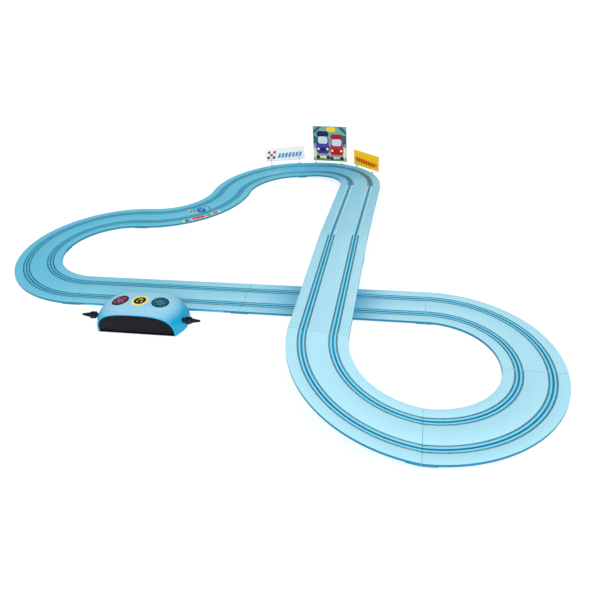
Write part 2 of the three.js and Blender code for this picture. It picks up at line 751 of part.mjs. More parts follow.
// A plug's grip: a neck in the housing's wall, a ribbed block and a tapered cord sleeve, along +X.
function plugGrip() {
  const neckStart = SOCKET_OUTER + GAP;
  const neck = rodAlongX(PLUG_NECK_RADIUS, neckStart, PLUG_SHOULDER + 1, PLUG_DEPTH, PLUG_HEIGHT);
  const grip = new THREE.ExtrudeGeometry(roundedRectangle(GRIP_DEPTH, GRIP_HEIGHT, GRIP_CORNER), {
    depth: GRIP_LENGTH,
    bevelEnabled: true,
    bevelSize: GRIP_SIDE_BEVEL,
    bevelThickness: GRIP_END_BEVEL,
    bevelSegments: 2,
    bevelOffset: -GRIP_SIDE_BEVEL,
    curveSegments: 3,
  });
  grip.rotateY(Math.PI / 2).translate(PLUG_SHOULDER + GRIP_END_BEVEL, PLUG_DEPTH, PLUG_HEIGHT);
  const sleeveStart = PLUG_SHOULDER + GRIP_LENGTH + 1;
  const sleeveLength = PLUG_END - sleeveStart;
  const sleeve = new THREE.CylinderGeometry(...SLEEVE_RADII, sleeveLength, 14)
    .rotateZ(-Math.PI / 2)
    .translate(sleeveStart + sleeveLength / 2, PLUG_DEPTH, PLUG_HEIGHT);
  return join(neck, grip, sleeve);
}

function roundedRectangle(width, height, radius) {
  const shape = new THREE.Shape();
  const x = width / 2 - radius;
  const y = height / 2 - radius;
  shape.absarc(x, y, radius, 0, Math.PI / 2);
  shape.absarc(-x, y, radius, Math.PI / 2, Math.PI);
  shape.absarc(-x, -y, radius, Math.PI, 1.5 * Math.PI);
  shape.absarc(x, -y, radius, 1.5 * Math.PI, 2 * Math.PI);
  return shape;
}

function plugPin() {
  const tip = SOCKET_INNER + SOCKET_FLOOR + 0.5;
  return rodAlongX(PIN_RADIUS, tip, SOCKET_OUTER, PLUG_DEPTH, PLUG_HEIGHT, 12);
}

function addPlugs(housing) {
  const sides = { left: Math.PI, right: 0 };
  for (const [side, turn] of Object.entries(sides)) {
    // the left ones are the right ones turned half round the housing's middle at the plug's depth
    const place = (geometry) => {
      return geometry.translate(0, -PLUG_DEPTH, 0).rotateZ(turn).translate(0, PLUG_DEPTH, 0);
    };
    addMesh(`plug_socket_${side}`, place(socket()), BLACK, housing);
    addMesh(`plug_grip_${side}`, place(plugGrip()), BLACK, housing);
    addMesh(`plug_pin_${side}`, place(plugPin()), BRASS, housing);
  }
}

// A bent flat strip, as a run of square-ended legs between corner points in the YZ plane.
function bentStrip(corners, x) {
  const half = STRIP_THICKNESS / 2;
  const legs = corners.slice(1).map(([y, z], i) => {
    const [fromY, fromZ] = corners[i];
    return box(
      [x - STRIP_WIDTH / 2, Math.min(y, fromY) - half, Math.min(z, fromZ) - half],
      [x + STRIP_WIDTH / 2, Math.max(y, fromY) + half, Math.max(z, fromZ) + half],
    );
  });
  return join(...legs);
}

// The terminal board behind the cells, and the strips that feed the four rails under the deck.
function addFeed(housing, trackDepth) {
  const board = box(
    [-BOARD_HALF_WIDTH, BOARD_DEPTH, BOARD_HEIGHTS[0]],
    [BOARD_HALF_WIDTH, BOARD_DEPTH + BOARD_THICKNESS, BOARD_HEIGHTS[1]],
  );
  addMesh("terminal_board", board, BOARD_GREEN, housing);
  const clearOfTray = TRAY_THICKNESS + 2 * GAP;
  const stepDown = trackDepth - TRACK_WIDTH / 2 + 8;
  RAIL_ACROSS.forEach((across, i) => {
    const boardFace = BOARD_DEPTH + BOARD_THICKNESS + GAP + STRIP_THICKNESS / 2;
    const railDepth = trackDepth + across;
    const corners = [
      [boardFace, STRIP_TOP],
      [boardFace, clearOfTray],
      [stepDown, clearOfTray],
      [stepDown, STRIP_UNDER_DECK],
      [railDepth, STRIP_UNDER_DECK],
      [railDepth, TRACK_HEIGHT - DECK_THICKNESS - 2 * GAP],
    ];
    const x = (i - (RAIL_ACROSS.length - 1) / 2) * STRIP_PITCH;
    addMesh(`feed_strip_${i + 1}`, bentStrip(corners, x), BRASS, housing);
  });
}

function addHousing() {
  const section = COURSE[0];
  const housing = new THREE.Group();
  const front = section.y - TRACK_WIDTH / 2 - GAP - HOUSING_DEPTH;
  housing.position.set(section.x + section.length / 2, front, 0);
  set.add(housing);
  addMesh("housing_shell", housingShell(), HOUSING_BLUE, housing);
  addMesh("base_tray", baseTray(), BLACK, housing);
  addMesh("battery_door", batteryDoor(), BLACK, housing);
  screwPlaces().forEach(([x, depth], i) => {
    addMesh(`tray_screw_${i + 1}`, screw(), STEEL, housing).position.set(x, depth, 0);
  });
  addCells(housing);
  addPlugs(housing);
  addFeed(housing, section.y - front);
}

// ---------------------------------------------------------------- boards and their posts

// Places a geometry drawn with x along the edge or the board, y outward and z up: y then points at
// an angle, and the geometry's origin goes to a place in plan.
function facing(geometry, angle, [x, y], z) {
  return geometry.rotateZ(angle - Math.PI / 2).translate(x, y, z);
}

// A clear post: a clip over the track's outer edge, an arm to where the post stands, and a column
// whose jaws hold the board.
function signPost(sign, side) {
  const [x, y] = postPlace(sign, side);
  const [angle, radius] = aroundCurve(x, y);
  const deckTop = outerEdgeHeight(angle);
  const reach = radius - TRACK_EDGE;
  const [low, high] = [CLIP_LIFT, CLIP_LIFT + CLIP_THICKNESS];
  const inner = Math.min(-CLIP_GRIP, reach - POST_HALF_DEPTH);
  const outer = GAP + CLIP_SKIRT_THICKNESS;
  const clip = join(
    box([-CLIP_HALF_WIDTH, GAP, CLIP_FOOT - TRACK_HEIGHT], [CLIP_HALF_WIDTH, outer, high]),
    box([-CLIP_HALF_WIDTH, inner, low], [CLIP_HALF_WIDTH, outer, high]),
    box([-POST_WIDTH / 2, 0, low], [POST_WIDTH / 2, Math.max(outer, reach + POST_HALF_DEPTH), high]),
  );
  const jawFloor = sign.bottom - GAP;
  const gapHalf = SIGN_THICKNESS / 2 + GAP;
  const column = cut(
    box(
      [-POST_WIDTH / 2, -POST_HALF_DEPTH, deckTop + low],
      [POST_WIDTH / 2, POST_HALF_DEPTH, jawFloor + POST_JAW_DEPTH],
    ),
    box([-POST_WIDTH, -gapHalf, jawFloor], [POST_WIDTH, gapHalf, jawFloor + 2 * POST_JAW_DEPTH]),
  );
  const edge = besideCurve(angle, TRACK_EDGE);
  return join(facing(clip, angle, edge, deckTop), facing(column, sign.facing, [x, y], 0));
}

// Where a post stands in plan; side is +1 at the board's right end, seen from the curve's centre.
function postPlace(sign, side) {
  const along = (side * sign.postSpan) / 2;
  return [
    sign.centre[0] + along * Math.sin(sign.facing),
    sign.centre[1] - along * Math.cos(sign.facing),
  ];
}

// The place in plan at an angle and a radius round the back curves' common centre.
function besideCurve(angle, radius) {
  const [x, y] = CURVE_CENTRE;
  return [x + radius * Math.cos(angle), y + radius * Math.sin(angle)];
}

// A place in plan as an angle and a radius round that centre.
function aroundCurve(x, y) {
  const [dx, dy] = [x - CURVE_CENTRE[0], y - CURVE_CENTRE[1]];
  return [Math.atan2(dy, dx), Math.hypot(dx, dy)];
}

// Height of the driving surface's outer edge at an angle round the back curves' common centre.
function outerEdgeHeight(angle) {
  const distance = BACK_CURVE_START.start + angle * CURVE_RADIUS;
  return surfacePoint(distance, -TRACK_WIDTH / 2)[2];
}

// Works out where a board stands: its nearer post is a little inside the track's edge.
function placeSign(sign) {
  const angle = THREE.MathUtils.degToRad(sign.angle);
  const turn = THREE.MathUtils.degToRad(sign.turn);
  const half = sign.postSpan / 2;
  const nearer = TRACK_EDGE - POST_INSET;
  const radius = Math.sqrt(nearer ** 2 - (half * Math.cos(turn)) ** 2) + half * Math.abs(Math.sin(turn));
  sign.facing = angle + turn;
  sign.centre = besideCurve(angle, radius);
  const edgeHeights = [-1, 1].map((side) => outerEdgeHeight(aroundCurve(...postPlace(sign, side))[0]));
  sign.bottom = sign.lift + Math.max(...edgeHeights);
}

const BACK_CURVE_START = COURSE.find((candidate) => candidate.name === "descent_curve");
const CURVE_CENTRE = BACK_CURVE_START.centre;
const TRACK_EDGE = CURVE_RADIUS + TRACK_WIDTH / 2;

function addSigns() {
  for (const sign of SIGNS) {
    placeSign(sign);
    const half = sign.width / 2;
    const board = box([-half, -SIGN_THICKNESS / 2, 0], [half, SIGN_THICKNESS / 2, sign.height]);
    addMesh(sign.name, facing(board, sign.facing, sign.centre, sign.bottom), plastic(sign.color));
    addMesh(sign.name + "_post_left", signPost(sign, -1), CLEAR_WHITE);
    addMesh(sign.name + "_post_right", signPost(sign, 1), CLEAR_WHITE);
  }
}

// ---------------------------------------------------------------- the set

addTrack();
addPowerRails();
addSupports();
addHousing();
addSigns();

// the origin is on the table, in the middle of the set's plan
const bounds = new THREE.Box3().setFromObject(set, true);
const centre = bounds.getCenter(new THREE.Vector3());
set.position.set(-centre.x, -centre.y, 0);

export default set;
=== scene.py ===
"""Slot car track set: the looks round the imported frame.

Every piece is built in metres in the frame's own coordinates.  Track pieces are drawn on the
course (distance along it, across to its left, height above the driving surface), the housing's
pieces in its own frame (x across, depth behind the front edge, z up) and prints on their surface.
"""

import math

import bmesh
import bpy
from mathutils import Matrix, Vector


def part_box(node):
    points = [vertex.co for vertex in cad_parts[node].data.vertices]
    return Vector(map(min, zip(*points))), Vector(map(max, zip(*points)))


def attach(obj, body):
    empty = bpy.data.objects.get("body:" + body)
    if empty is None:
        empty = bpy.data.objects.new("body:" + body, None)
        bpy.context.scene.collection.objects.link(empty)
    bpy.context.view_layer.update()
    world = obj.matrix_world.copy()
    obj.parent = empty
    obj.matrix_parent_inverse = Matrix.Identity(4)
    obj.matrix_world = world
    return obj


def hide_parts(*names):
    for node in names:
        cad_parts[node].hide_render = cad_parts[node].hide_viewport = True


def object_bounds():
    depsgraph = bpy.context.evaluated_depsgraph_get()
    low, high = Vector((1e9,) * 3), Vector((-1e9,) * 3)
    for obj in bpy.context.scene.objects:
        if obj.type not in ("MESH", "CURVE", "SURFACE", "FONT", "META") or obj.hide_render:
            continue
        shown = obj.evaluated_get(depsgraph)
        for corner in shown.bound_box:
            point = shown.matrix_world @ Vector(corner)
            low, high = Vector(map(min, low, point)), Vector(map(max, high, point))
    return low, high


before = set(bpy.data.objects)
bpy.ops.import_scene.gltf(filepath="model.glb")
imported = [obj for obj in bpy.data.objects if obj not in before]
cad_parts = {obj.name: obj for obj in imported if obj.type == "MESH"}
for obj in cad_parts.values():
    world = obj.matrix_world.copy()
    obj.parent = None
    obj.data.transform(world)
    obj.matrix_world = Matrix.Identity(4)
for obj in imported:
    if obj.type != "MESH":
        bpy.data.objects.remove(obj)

cad_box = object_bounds()

MM = 0.001
GAP = 0.3 * MM
QUARTER_TURN = math.pi / 2

# ------------------------------------------------------------------ sizes taken from the frame

deck_low, deck_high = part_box("power_straight")
rail_low, rail_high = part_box("power_rail_1")
shell_low, shell_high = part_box("housing_shell")

STRAIGHT = rail_high.x - rail_low.x + 2 * GAP
RADIUS = STRAIGHT / 2
WIDTH = deck_high.y - deck_low.y
HEIGHT = deck_high.z
LANES = (-WIDTH / 4, WIDTH / 4)

HOUSING_X = (shell_low.x + shell_high.x) / 2
HOUSING_FRONT = shell_low.y
HOUSING_HALF_WIDTH = (shell_high.x - shell_low.x) / 2
HOUSING_HEIGHT = shell_high.z
HOUSING_BACK = shell_high.y - shell_low.y

# Track sections
DECK = 2 * MM
SKIRT = 1.8 * MM
SKIRT_SHORT = 4.9 * MM  # skirt depth between the feet at a section's ends
FOOT_LENGTH = 16 * MM
SLOT_WIDTH = 3 * MM
SLOT_DEPTH = 4 * MM
SLOT_WALL = 1 * MM
RAIL_OFFSET = 6 * MM
RAIL_WIDTH = 2.6 * MM
RAIL_DEPTH = 0.8 * MM
RAIL_CROWN = 0.16 * MM
RAIL_END = 0.9 * MM  # from a rail's end to the end of its section
RAIL_SUNK = 0.02 * MM  # a rail's top below the driving surface
RAIL_DIP = 0.4 * MM  # the same at a rail's very end
RAIL_SLOPE = 0.8 * MM  # how long a rail takes to dip
GROOVE_DEPTH = 1.1 * MM
GROOVE_CLEARANCE = 0.12 * MM
STEP = 5 * MM  # longest step along a curve

# The course in driving order: name, turn (+1 left, -1 right), and the rise and the bank of the
# driving surface where the section starts.
COURSE = [
    ("power_straight", 0, 0, 0),
    ("underpass_straight", 0, 0, 0),
    ("loop_entry_curve", -1, 0, 0),
    ("loop_front_curve", -1, 0, 0),
    ("ramp_curve", -1, 10 * MM, -0.073),
    ("bridge_straight", 0, 51 * MM, 0.116),
    ("descent_straight", 0, 55 * MM, 0),
    ("descent_curve", 1, 24 * MM, 0.03),
    ("back_curve", 1, 0, 0),
    ("s_bend_curve", -1, 0, 0),
    ("side_curve", 1, 0, 0),
    ("return_curve", 1, 0, 0),
]

# ------------------------------------------------------------------ materials


def tint(red, green, blue):
    """A colour given as 0 to 255 display values, as the linear colour that a shader takes."""
    return tuple(((c / 255 + 0.055) / 1.055) ** 2.4 for c in (red, green, blue)) + (1.0,)


class Look:
    """A Principled material, with short ways to add the nodes that drive it."""

    def __init__(self, name, **settings):
        self.material = bpy.data.materials.new(name)
        self.material.use_nodes = True
        self.tree = self.material.node_tree
        self.shader = self.tree.nodes["Principled BSDF"]
        for socket, value in settings.items():
            self.feed(self.shader, socket.replace("_", " "), value)
        self.place = self.node("ShaderNodeTexCoord").outputs["Object"]

    def feed(self, node, socket, value):
        if isinstance(value, bpy.types.NodeSocket):
            self.tree.links.new(value, node.inputs[socket])
        else:
            node.inputs[socket].default_value = value

    def node(self, kind, inputs=None, **properties):
        made = self.tree.nodes.new(kind)
        for key, value in properties.items():
            setattr(made, key, value)
        for socket, value in (inputs or {}).items():
            self.feed(made, socket, value)
        return made

    def noise(self, scale, detail=3.0, vector=None, roughness=0.5):
        inputs = {"Scale": scale, "Detail": detail, "Roughness": roughness, "Vector": vector or self.place}
        return self.node("ShaderNodeTexNoise", inputs).outputs["Fac"]

    def stretched(self, stretch, vector=None):
        """The place, scaled along each axis, so that a noise on it is drawn out into streaks."""
        inputs = {"Vector": vector or self.place, "Scale": stretch}
        return self.node("ShaderNodeMapping", inputs).outputs["Vector"]

    def math(self, operation, first, second=0.0):
        made = self.node("ShaderNodeMath", operation=operation)
        self.feed(made, 0, first)
        self.feed(made, 1, second)
        return made.outputs[0]

    def ranged(self, value, low, high, to_low=0.0, to_high=1.0):
        inputs = {"Value": value, "From Min": low, "From Max": high, "To Min": to_low, "To Max": to_high}
        return self.node("ShaderNodeMapRange", inputs, interpolation_type="SMOOTHSTEP").outputs["Result"]

    def mix(self, factor, first, second):
        made = self.node("ShaderNodeMix", data_type="RGBA")
        self.feed(made, 0, factor)
        self.feed(made, 6, first)
        self.feed(made, 7, second)
        return made.outputs[2]

    def parts_of(self, vector):
        return self.node("ShaderNodeSeparateXYZ", {"Vector": vector}).outputs

    def attribute(self, name):
        return self.node("ShaderNodeAttribute", attribute_name=name).outputs["Vector"]

    def upward(self):
        """How far the surface faces up: 1 on a top, 0 on a wall."""
        return self.parts_of(self.node("ShaderNodeNewGeometry").outputs["Normal"])["Z"]

    def bump(self, height, distance, strength=1.0):
        inputs = {"Height": height, "Distance": distance, "Strength": strength}
        self.feed(self.shader, "Normal", self.node("ShaderNodeBump", inputs).outputs["Normal"])

    def set(self, **sockets):
        for socket, value in sockets.items():
            self.feed(self.shader, socket.replace("_", " "), value)


CURVE = QUARTER_TURN * RADIUS  # length of a curved section
DESCENT_CURVE_START = 4 * STRAIGHT + 3 * CURVE  # where the descent curve starts

PAINTED_LIGHT_DIRECTION = (0.85, -0.53, 0.0)  # painted light: the moulding is painted paler this way across the set, as if lit more from the front right
PAINTED_LIGHT_REACH = (-0.45, 0.34)


def painted_light_share(look):
    """Painted light: 0 to 1 across the set, in the direction in which the painted light grows stronger."""
    reach = look.node("ShaderNodeVectorMath", {0: look.place, 1: PAINTED_LIGHT_DIRECTION}, operation="DOT_PRODUCT")
    return look.ranged(reach.outputs["Value"], *PAINTED_LIGHT_REACH)


def stretch(look, along, rise, fall):
    """1 over one stretch of the course, fading in and out over two spans of the way along it."""
    return look.math("MULTIPLY", look.ranged(along, *rise), look.ranged(along, *fall, 1.0, 0.0))


def track_plastic():
    """Pale blue moulded plastic, scuffed along the lanes, with painted light and shade: painted paler
    towards the front right of the set, with painted shade on its walls, in the slots, in the lane bands,
    over the descent bend and beside the bridge.
    """
    look = Look("track_plastic", Specular_IOR_Level=0.35)
    on_course = look.attribute("course")
    across, along, height = (look.parts_of(on_course)[axis] for axis in "XYZ")
    cloud = look.ranged(look.noise(6.0, 2.0), 0.3, 0.7, -0.05, 0.05)
    # painted light: the deck top is painted paler towards the front right of the set, with a random cloud of
    # tone added
    factor = look.math("ADD", painted_light_share(look), cloud)
    top = look.mix(factor, tint(98, 192, 220), tint(167, 219, 235))
    # painted shade: the deck is painted deeper over the descent curve and the start of the back curve, and a
    # painted shadow lies along the underpass straight where the bridge crosses it
    painted_bend_shade = stretch(look, along, (DESCENT_CURVE_START, DESCENT_CURVE_START + CURVE / 2),
                       (DESCENT_CURVE_START + CURVE, DESCENT_CURVE_START + 1.4 * CURVE))
    painted_bridge_shadow = stretch(look, along, (STRAIGHT, 1.35 * STRAIGHT), (1.6 * STRAIGHT, 1.85 * STRAIGHT))
    painted_shade_share = look.math("MULTIPLY", look.math("MAXIMUM", painted_bend_shade, painted_bridge_shadow), 0.55)
    top = look.mix(painted_shade_share, top, tint(52, 172, 216))
    # painted shade: between the rails and the slot the deck is painted deeper, and paler towards the front
    # right with the painted light
    from_lane = look.math("ABSOLUTE", look.math("SUBTRACT", look.math("ABSOLUTE", across), WIDTH / 4))
    in_lane = look.ranged(from_lane, 4.4 * MM, 4.9 * MM, 1.0, 0.0)
    painted_lane_shade = look.mix(factor, tint(84, 184, 216), tint(100, 206, 238))
    # the lane bands are darker still over the first half of the descent curve, fading out over its second
    # half
    descent_lane_darkening = stretch(look, along, (DESCENT_CURVE_START - 2 * MM, DESCENT_CURVE_START + 6 * MM),
                      (DESCENT_CURVE_START + CURVE / 2, DESCENT_CURVE_START + CURVE))
    painted_lane_shade = look.mix(descent_lane_darkening, painted_lane_shade, tint(18, 112, 158))
    top = look.mix(look.math("MULTIPLY", in_lane, 0.8), top, painted_lane_shade)
    streaks = look.noise(1.0, 4.0, look.stretched((900, 14, 0), on_course), 0.6)
    scuff = look.ranged(streaks, 0.62, 0.74)
    near_lane = look.ranged(from_lane, 5 * MM, 17 * MM, 0.22, 0.02)
    top = look.mix(look.math("MULTIPLY", scuff, near_lane), top, tint(214, 236, 240))
    # painted shade: walls and skirts are painted a deeper teal than the top as the shade on them, and paler
    # towards the front right with the painted light
    wall = look.mix(factor, tint(8, 118, 146), tint(0, 116, 150))
    lit_top_share = look.ranged(look.upward(), 0.35, 0.85)
    colour = look.mix(lit_top_share, wall, top)
    from_middle = look.math("ABSOLUTE", across)
    # painted shading below the driving surface inside the outer skirts (slots, rail grooves and underside):
    # deeper than the deck and lighter than the painted wall shade
    in_slot = look.math("MULTIPLY", look.ranged(height, -1.6 * MM, -0.5 * MM, 1.0, 0.0),
                        look.ranged(from_middle, 44 * MM, 46 * MM, 1.0, 0.0))
    colour = look.mix(in_slot, colour, look.mix(factor, tint(78, 176, 204), tint(48, 174, 204)))
    grain = look.noise(2600, 2.0)
    smudge = look.ranged(look.noise(38, 4.0), 0.35, 0.7, 0.38, 0.52)
    look.set(Base_Color=colour, Roughness=look.math("ADD", smudge, look.math("MULTIPLY", scuff, 0.08)))
    look.bump(look.math("ADD", grain, look.math("MULTIPLY", scuff, 0.8)), 0.03 * MM, 0.35)
    return look.material


def brushed_metal(name, colour, dull, roughness, scale=(60, 1500, 60), source=None, far=None):
    """Metal drawn along its length, streaked and a little dulled.  far is a painted teal shade and
    reflection, taken where the painted light across the set is weaker.
    """
    look = Look(name, Metallic=1.0)
    if far:
        colour = look.mix(painted_light_share(look), far, colour)
    place = look.attribute(source) if source else look.place
    streaks = look.noise(1.0, 3.0, look.stretched(scale, place), 0.6)
    stain = look.ranged(look.noise(55, 3.0), 0.45, 0.75)
    look.set(
        Base_Color=look.mix(look.math("MULTIPLY", stain, 0.5), colour, dull),
        Roughness=look.ranged(streaks, 0.3, 0.7, roughness, roughness + 0.14),
    )
    look.bump(streaks, 0.02 * MM, 0.4)
    return look.material


def painted_highlight_rail():
    """The same strip with a painted highlight: a nearly matt, pale colour stands in for its bright
    reflection.
    """
    look = Look("bright_rail_steel", Metallic=0.25, Specular_IOR_Level=0.4)
    streaks = look.noise(1.0, 3.0, look.stretched((900, 22, 0), look.attribute("course")), 0.6)
    stain = look.ranged(look.noise(55, 3.0), 0.45, 0.75, 0.0, 0.5)
    look.set(
        Base_Color=look.mix(stain, tint(236, 244, 245), tint(196, 222, 230)),
        Roughness=look.ranged(streaks, 0.3, 0.7, 0.3, 0.46),
    )
    look.bump(streaks, 0.02 * MM, 0.4)
    return look.material


def grained_plastic(name, colour, worn, roughness=0.5, grain_scale=1800, grain=0.06, **settings):
    """Moulded plastic with a spark-eroded grain, paler where it is rubbed."""
    look = Look(name, **settings)
    grains = look.noise(grain_scale, 2.0)
    rubbed = look.ranged(look.noise(45, 5.0, roughness=0.65), 0.5, 0.72, 0.0, 0.5)
    look.set(
        Base_Color=look.mix(rubbed, colour, worn),
        Roughness=look.ranged(look.noise(70, 3.0), 0.3, 0.7, roughness - 0.06, roughness + 0.1),
    )
    look.bump(grains, grain * MM, 0.5)
    return look.material


def housing_plastic():
    """Glossy blue moulding with faint hairline scratches, painted pale on top and cyan down the sides as
    painted light and shade.
    """
    look = Look("housing_plastic", Coat_Weight=0.12, Coat_Roughness=0.14, Specular_IOR_Level=0.25)
    lit_top_share = look.ranged(look.upward(), 0.45, 0.99)
    height = look.ranged(look.parts_of(look.place)["Z"], 18 * MM, 45 * MM, 0.0, 1.0)
    cloud = look.ranged(look.noise(16, 2.0), 0.3, 0.7, -0.06, 0.06)
    # painted light: upward faces high on the dome are painted pale, and the sides a deeper cyan as painted
    # shade
    factor = look.math("ADD", look.math("MULTIPLY", lit_top_share, height), cloud)
    colour = look.mix(factor, tint(0, 152, 194), tint(150, 204, 228))
    hairs = look.noise(1.0, 4.0, look.stretched((60, 900, 300)), 0.6)
    scratched = look.ranged(hairs, 0.66, 0.74, 0.0, 0.18)
    look.set(
        Base_Color=look.mix(scratched, colour, tint(205, 228, 238)),
        Roughness=look.ranged(look.noise(30, 4.0), 0.3, 0.75, 0.24, 0.4),
    )
    look.bump(look.noise(900, 2.0), 0.012 * MM, 0.5)
    return look.material


def clear_plastic():
    """Milky clear plastic of the board posts."""
    look = Look("clear_plastic", Transmission_Weight=0.55, IOR=1.2)
    haze = look.noise(120, 3.0)
    look.set(
        Base_Color=look.mix(haze, tint(240, 246, 246), tint(253, 254, 254)),
        Roughness=look.ranged(haze, 0.3, 0.7, 0.16, 0.34),
    )
    look.bump(look.noise(700, 2.0), 0.02 * MM, 0.4)
    return look.material


def printed(name, colour, roughness=0.42):
    """Printing ink on coated card or film: a fine screen of dots and a slight unevenness."""
    look = Look(name, Specular_IOR_Level=0.18)
    dots = look.node("ShaderNodeTexVoronoi", {"Vector": look.place, "Scale": 3400.0})
    screen = look.ranged(dots.outputs["Distance"], 0.2, 0.6, 0.0, 0.1)
    darker = tuple(c * 0.7 for c in colour[:3]) + (1.0,)
    patch = look.ranged(look.noise(60, 3.0), 0.3, 0.7, 0.0, 0.12)
    look.set(
        Base_Color=look.mix(look.math("ADD", screen, patch), colour, darker),
        Roughness=look.ranged(look.noise(90, 3.0), 0.3, 0.7, roughness - 0.06, roughness + 0.08),
    )
    look.bump(look.noise(1400, 2.0), 0.01 * MM, 0.4)
    return look.material


def cell_jacket():
    """Printed battery sleeve: a dark body and a pale band towards the nub."""
    look = Look("cell_jacket", Coat_Weight=0.4, Coat_Roughness=0.15, Roughness=0.3)
    along = look.parts_of(look.attribute("along"))["X"]
    band = look.ranged(along, 36 * MM, 36.3 * MM)
    body = look.mix(look.noise(200, 2.0), tint(38, 44, 60), tint(52, 58, 76))
    look.set(Base_Color=look.mix(band, body, tint(196, 202, 206)))
    look.bump(look.noise(500, 2.0), 0.02 * MM, 0.3)
    return look.material


def circuit_board():
    """Green solder mask over faint copper tracks."""
    look = Look("circuit_board", Roughness=0.35)
    tracks = look.node("ShaderNodeTexBrick", {"Vector": look.place, "Scale": 90.0, "Mortar Size": 0.08})
    traces = look.ranged(tracks.outputs["Fac"], 0.2, 0.8, 0.0, 0.6)
    look.set(Base_Color=look.mix(traces, tint(22, 84, 52), tint(70, 140, 84)))
    look.bump(look.noise(800, 2.0), 0.02 * MM, 0.4)
    return look.material


def studio_floor():
    """A white sweep lit from behind, so that it shows only the faintest shadows."""
    look = Look("studio_floor", Roughness=0.9, Specular_IOR_Level=0.05, Emission_Strength=0.75)
    look.set(Base_Color=look.mix(look.noise(3.0), tint(158, 159, 160), tint(164, 164, 164)))
    look.set(Emission_Color=(1, 1, 1, 1))
    return look.material


STEEL_COLOUR = tint(222, 226, 228)
LOOKS = {
    "track": track_plastic(),
    # the rails take a painted teal shade and reflection where the painted light across the set is weaker
    "rail": brushed_metal(
        "rail_steel", STEEL_COLOUR, tint(176, 190, 196), 0.2, (900, 22, 0), "course", tint(140, 204, 220)
    ),
    "painted_highlight_rail": painted_highlight_rail(),
    "steel": brushed_metal("contact_steel", tint(196, 199, 202), tint(150, 152, 150), 0.22),
    "brass": brushed_metal("brass", tint(206, 168, 92), tint(150, 112, 60), 0.26),
    "support": grained_plastic("support_plastic", tint(88, 178, 210), tint(150, 210, 228), 0.45),
    "housing": housing_plastic(),
    "black": grained_plastic(
        "black_plastic", tint(5, 9, 19), tint(14, 19, 30), 0.46, Specular_IOR_Level=0.15
    ),
    "rubber": grained_plastic(
        "plug_rubber", tint(14, 24, 26), tint(34, 44, 46), 0.58, 2400, 0.05, Specular_IOR_Level=0.3
    ),
    "clear": clear_plastic(),
    "card": printed("white_card", tint(244, 243, 238), 0.5),
    "cell": cell_jacket(),
    "board": circuit_board(),
}


def ink(red, green, blue):
    """The printed material of a colour, made once."""
    name = f"ink_{red}_{green}_{blue}"
    if name not in LOOKS:
        LOOKS[name] = printed(name, tint(red, green, blue))
    return LOOKS[name]


# ------------------------------------------------------------------ mesh helpers

SHARP = math.radians(32)


def add_piece(name, shape, look, body="track", stands_for=(), sharp=SHARP):
    """Turns a bmesh into a piece with one material that rides on a body."""
    bmesh.ops.recalc_face_normals(shape, faces=shape.faces)
    mesh = bpy.data.meshes.new(name)
    shape.to_mesh(mesh)
    shape.free()
    mesh.materials.append(look)
    mesh.shade_smooth()
    mesh.set_sharp_from_angle(angle=sharp)
    piece = bpy.data.objects.new(name, mesh)
    bpy.context.scene.collection.objects.link(piece)
    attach(piece, body)
    if stands_for:
        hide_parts(*stands_for)
    return piece


def loft(shape, rings):
    """A closed solid through a row of closed rings of points."""
    rows = [[shape.verts.new(point) for point in ring] for ring in rings]
    for row, following in zip(rows, rows[1:]):
        for i in range(len(row)):
            j = (i + 1) % len(row)
            shape.faces.new((row[i], row[j], following[j], following[i]))
    shape.faces.new(rows[0][::-1])
    shape.faces.new(rows[-1])
    return rows


def box_shape(low, high):
    """A box between two corners, as a bmesh."""
    shape = bmesh.new()
    low, high = Vector(low), Vector(high)
    size = high - low
    fit = Matrix.Translation((low + high) / 2) @ Matrix.Diagonal((*size, 1))
    bmesh.ops.create_cube(shape, size=1, matrix=fit)
    return shape


def rod_shape(start, end, radius, sides=32):
    """A round rod between two points, as a bmesh."""
    start, end = Vector(start), Vector(end)
    turn = (end - start).to_track_quat("Z", "Y").to_matrix().to_4x4()
    shape = bmesh.new()
    bmesh.ops.create_cone(
        shape,
        segments=sides,
        radius1=radius,
        radius2=radius,
        depth=(end - start).length,
        cap_ends=True,
        matrix=Matrix.Translation((start + end) / 2) @ turn,
    )
    return shape


def combined(first, second, operation):
    """Two bmeshes joined or cut with a boolean, as a new bmesh."""
    objects = []
    for shape in (first, second):
        bmesh.ops.recalc_face_normals(shape, faces=shape.faces)
        mesh = bpy.data.meshes.new("boolean")
        shape.to_mesh(mesh)
        shape.free()
        objects.append(bpy.data.objects.new("boolean", mesh))
        bpy.context.scene.collection.objects.link(objects[-1])
    modifier = objects[0].modifiers.new("boolean", "BOOLEAN")
    modifier.operation = operation
    modifier.solver = "MANIFOLD"
    modifier.object = objects[1]
    evaluated = objects[0].evaluated_get(bpy.context.evaluated_depsgraph_get())
    result = bmesh.new()
    result.from_mesh(evaluated.to_mesh())
    evaluated.to_mesh_clear()
    for made in objects:
        mesh = made.data
        bpy.data.objects.remove(made)
        bpy.data.meshes.remove(mesh)
    return result


def cut(shape, *tools):
    for tool in tools:
        shape = combined(shape, tool, "DIFFERENCE")
    return shape


def joined(shape, *others):
    for other in others:
        shape = combined(shape, other, "UNION")
    return shape


def bevelled(shape, width, segments=2, corner=math.radians(45)):
    """Rounds every edge that is sharper than a corner; its faces are left as quads and triangles."""
    bmesh.ops.dissolve_limit(shape, angle_limit=math.radians(1), verts=shape.verts, edges=shape.edges)
    edges = [e for e in shape.edges if len(e.link_faces) == 2 and e.calc_face_angle(0) > corner]
    bmesh.ops.bevel(
        shape,
        geom=edges,
        offset=width,
        segments=segments,
        profile=0.5,
        affect="EDGES",
        clamp_overlap=True,
    )
    bmesh.ops.triangulate(shape, faces=[face for face in shape.faces if len(face.verts) > 4])
    return shape


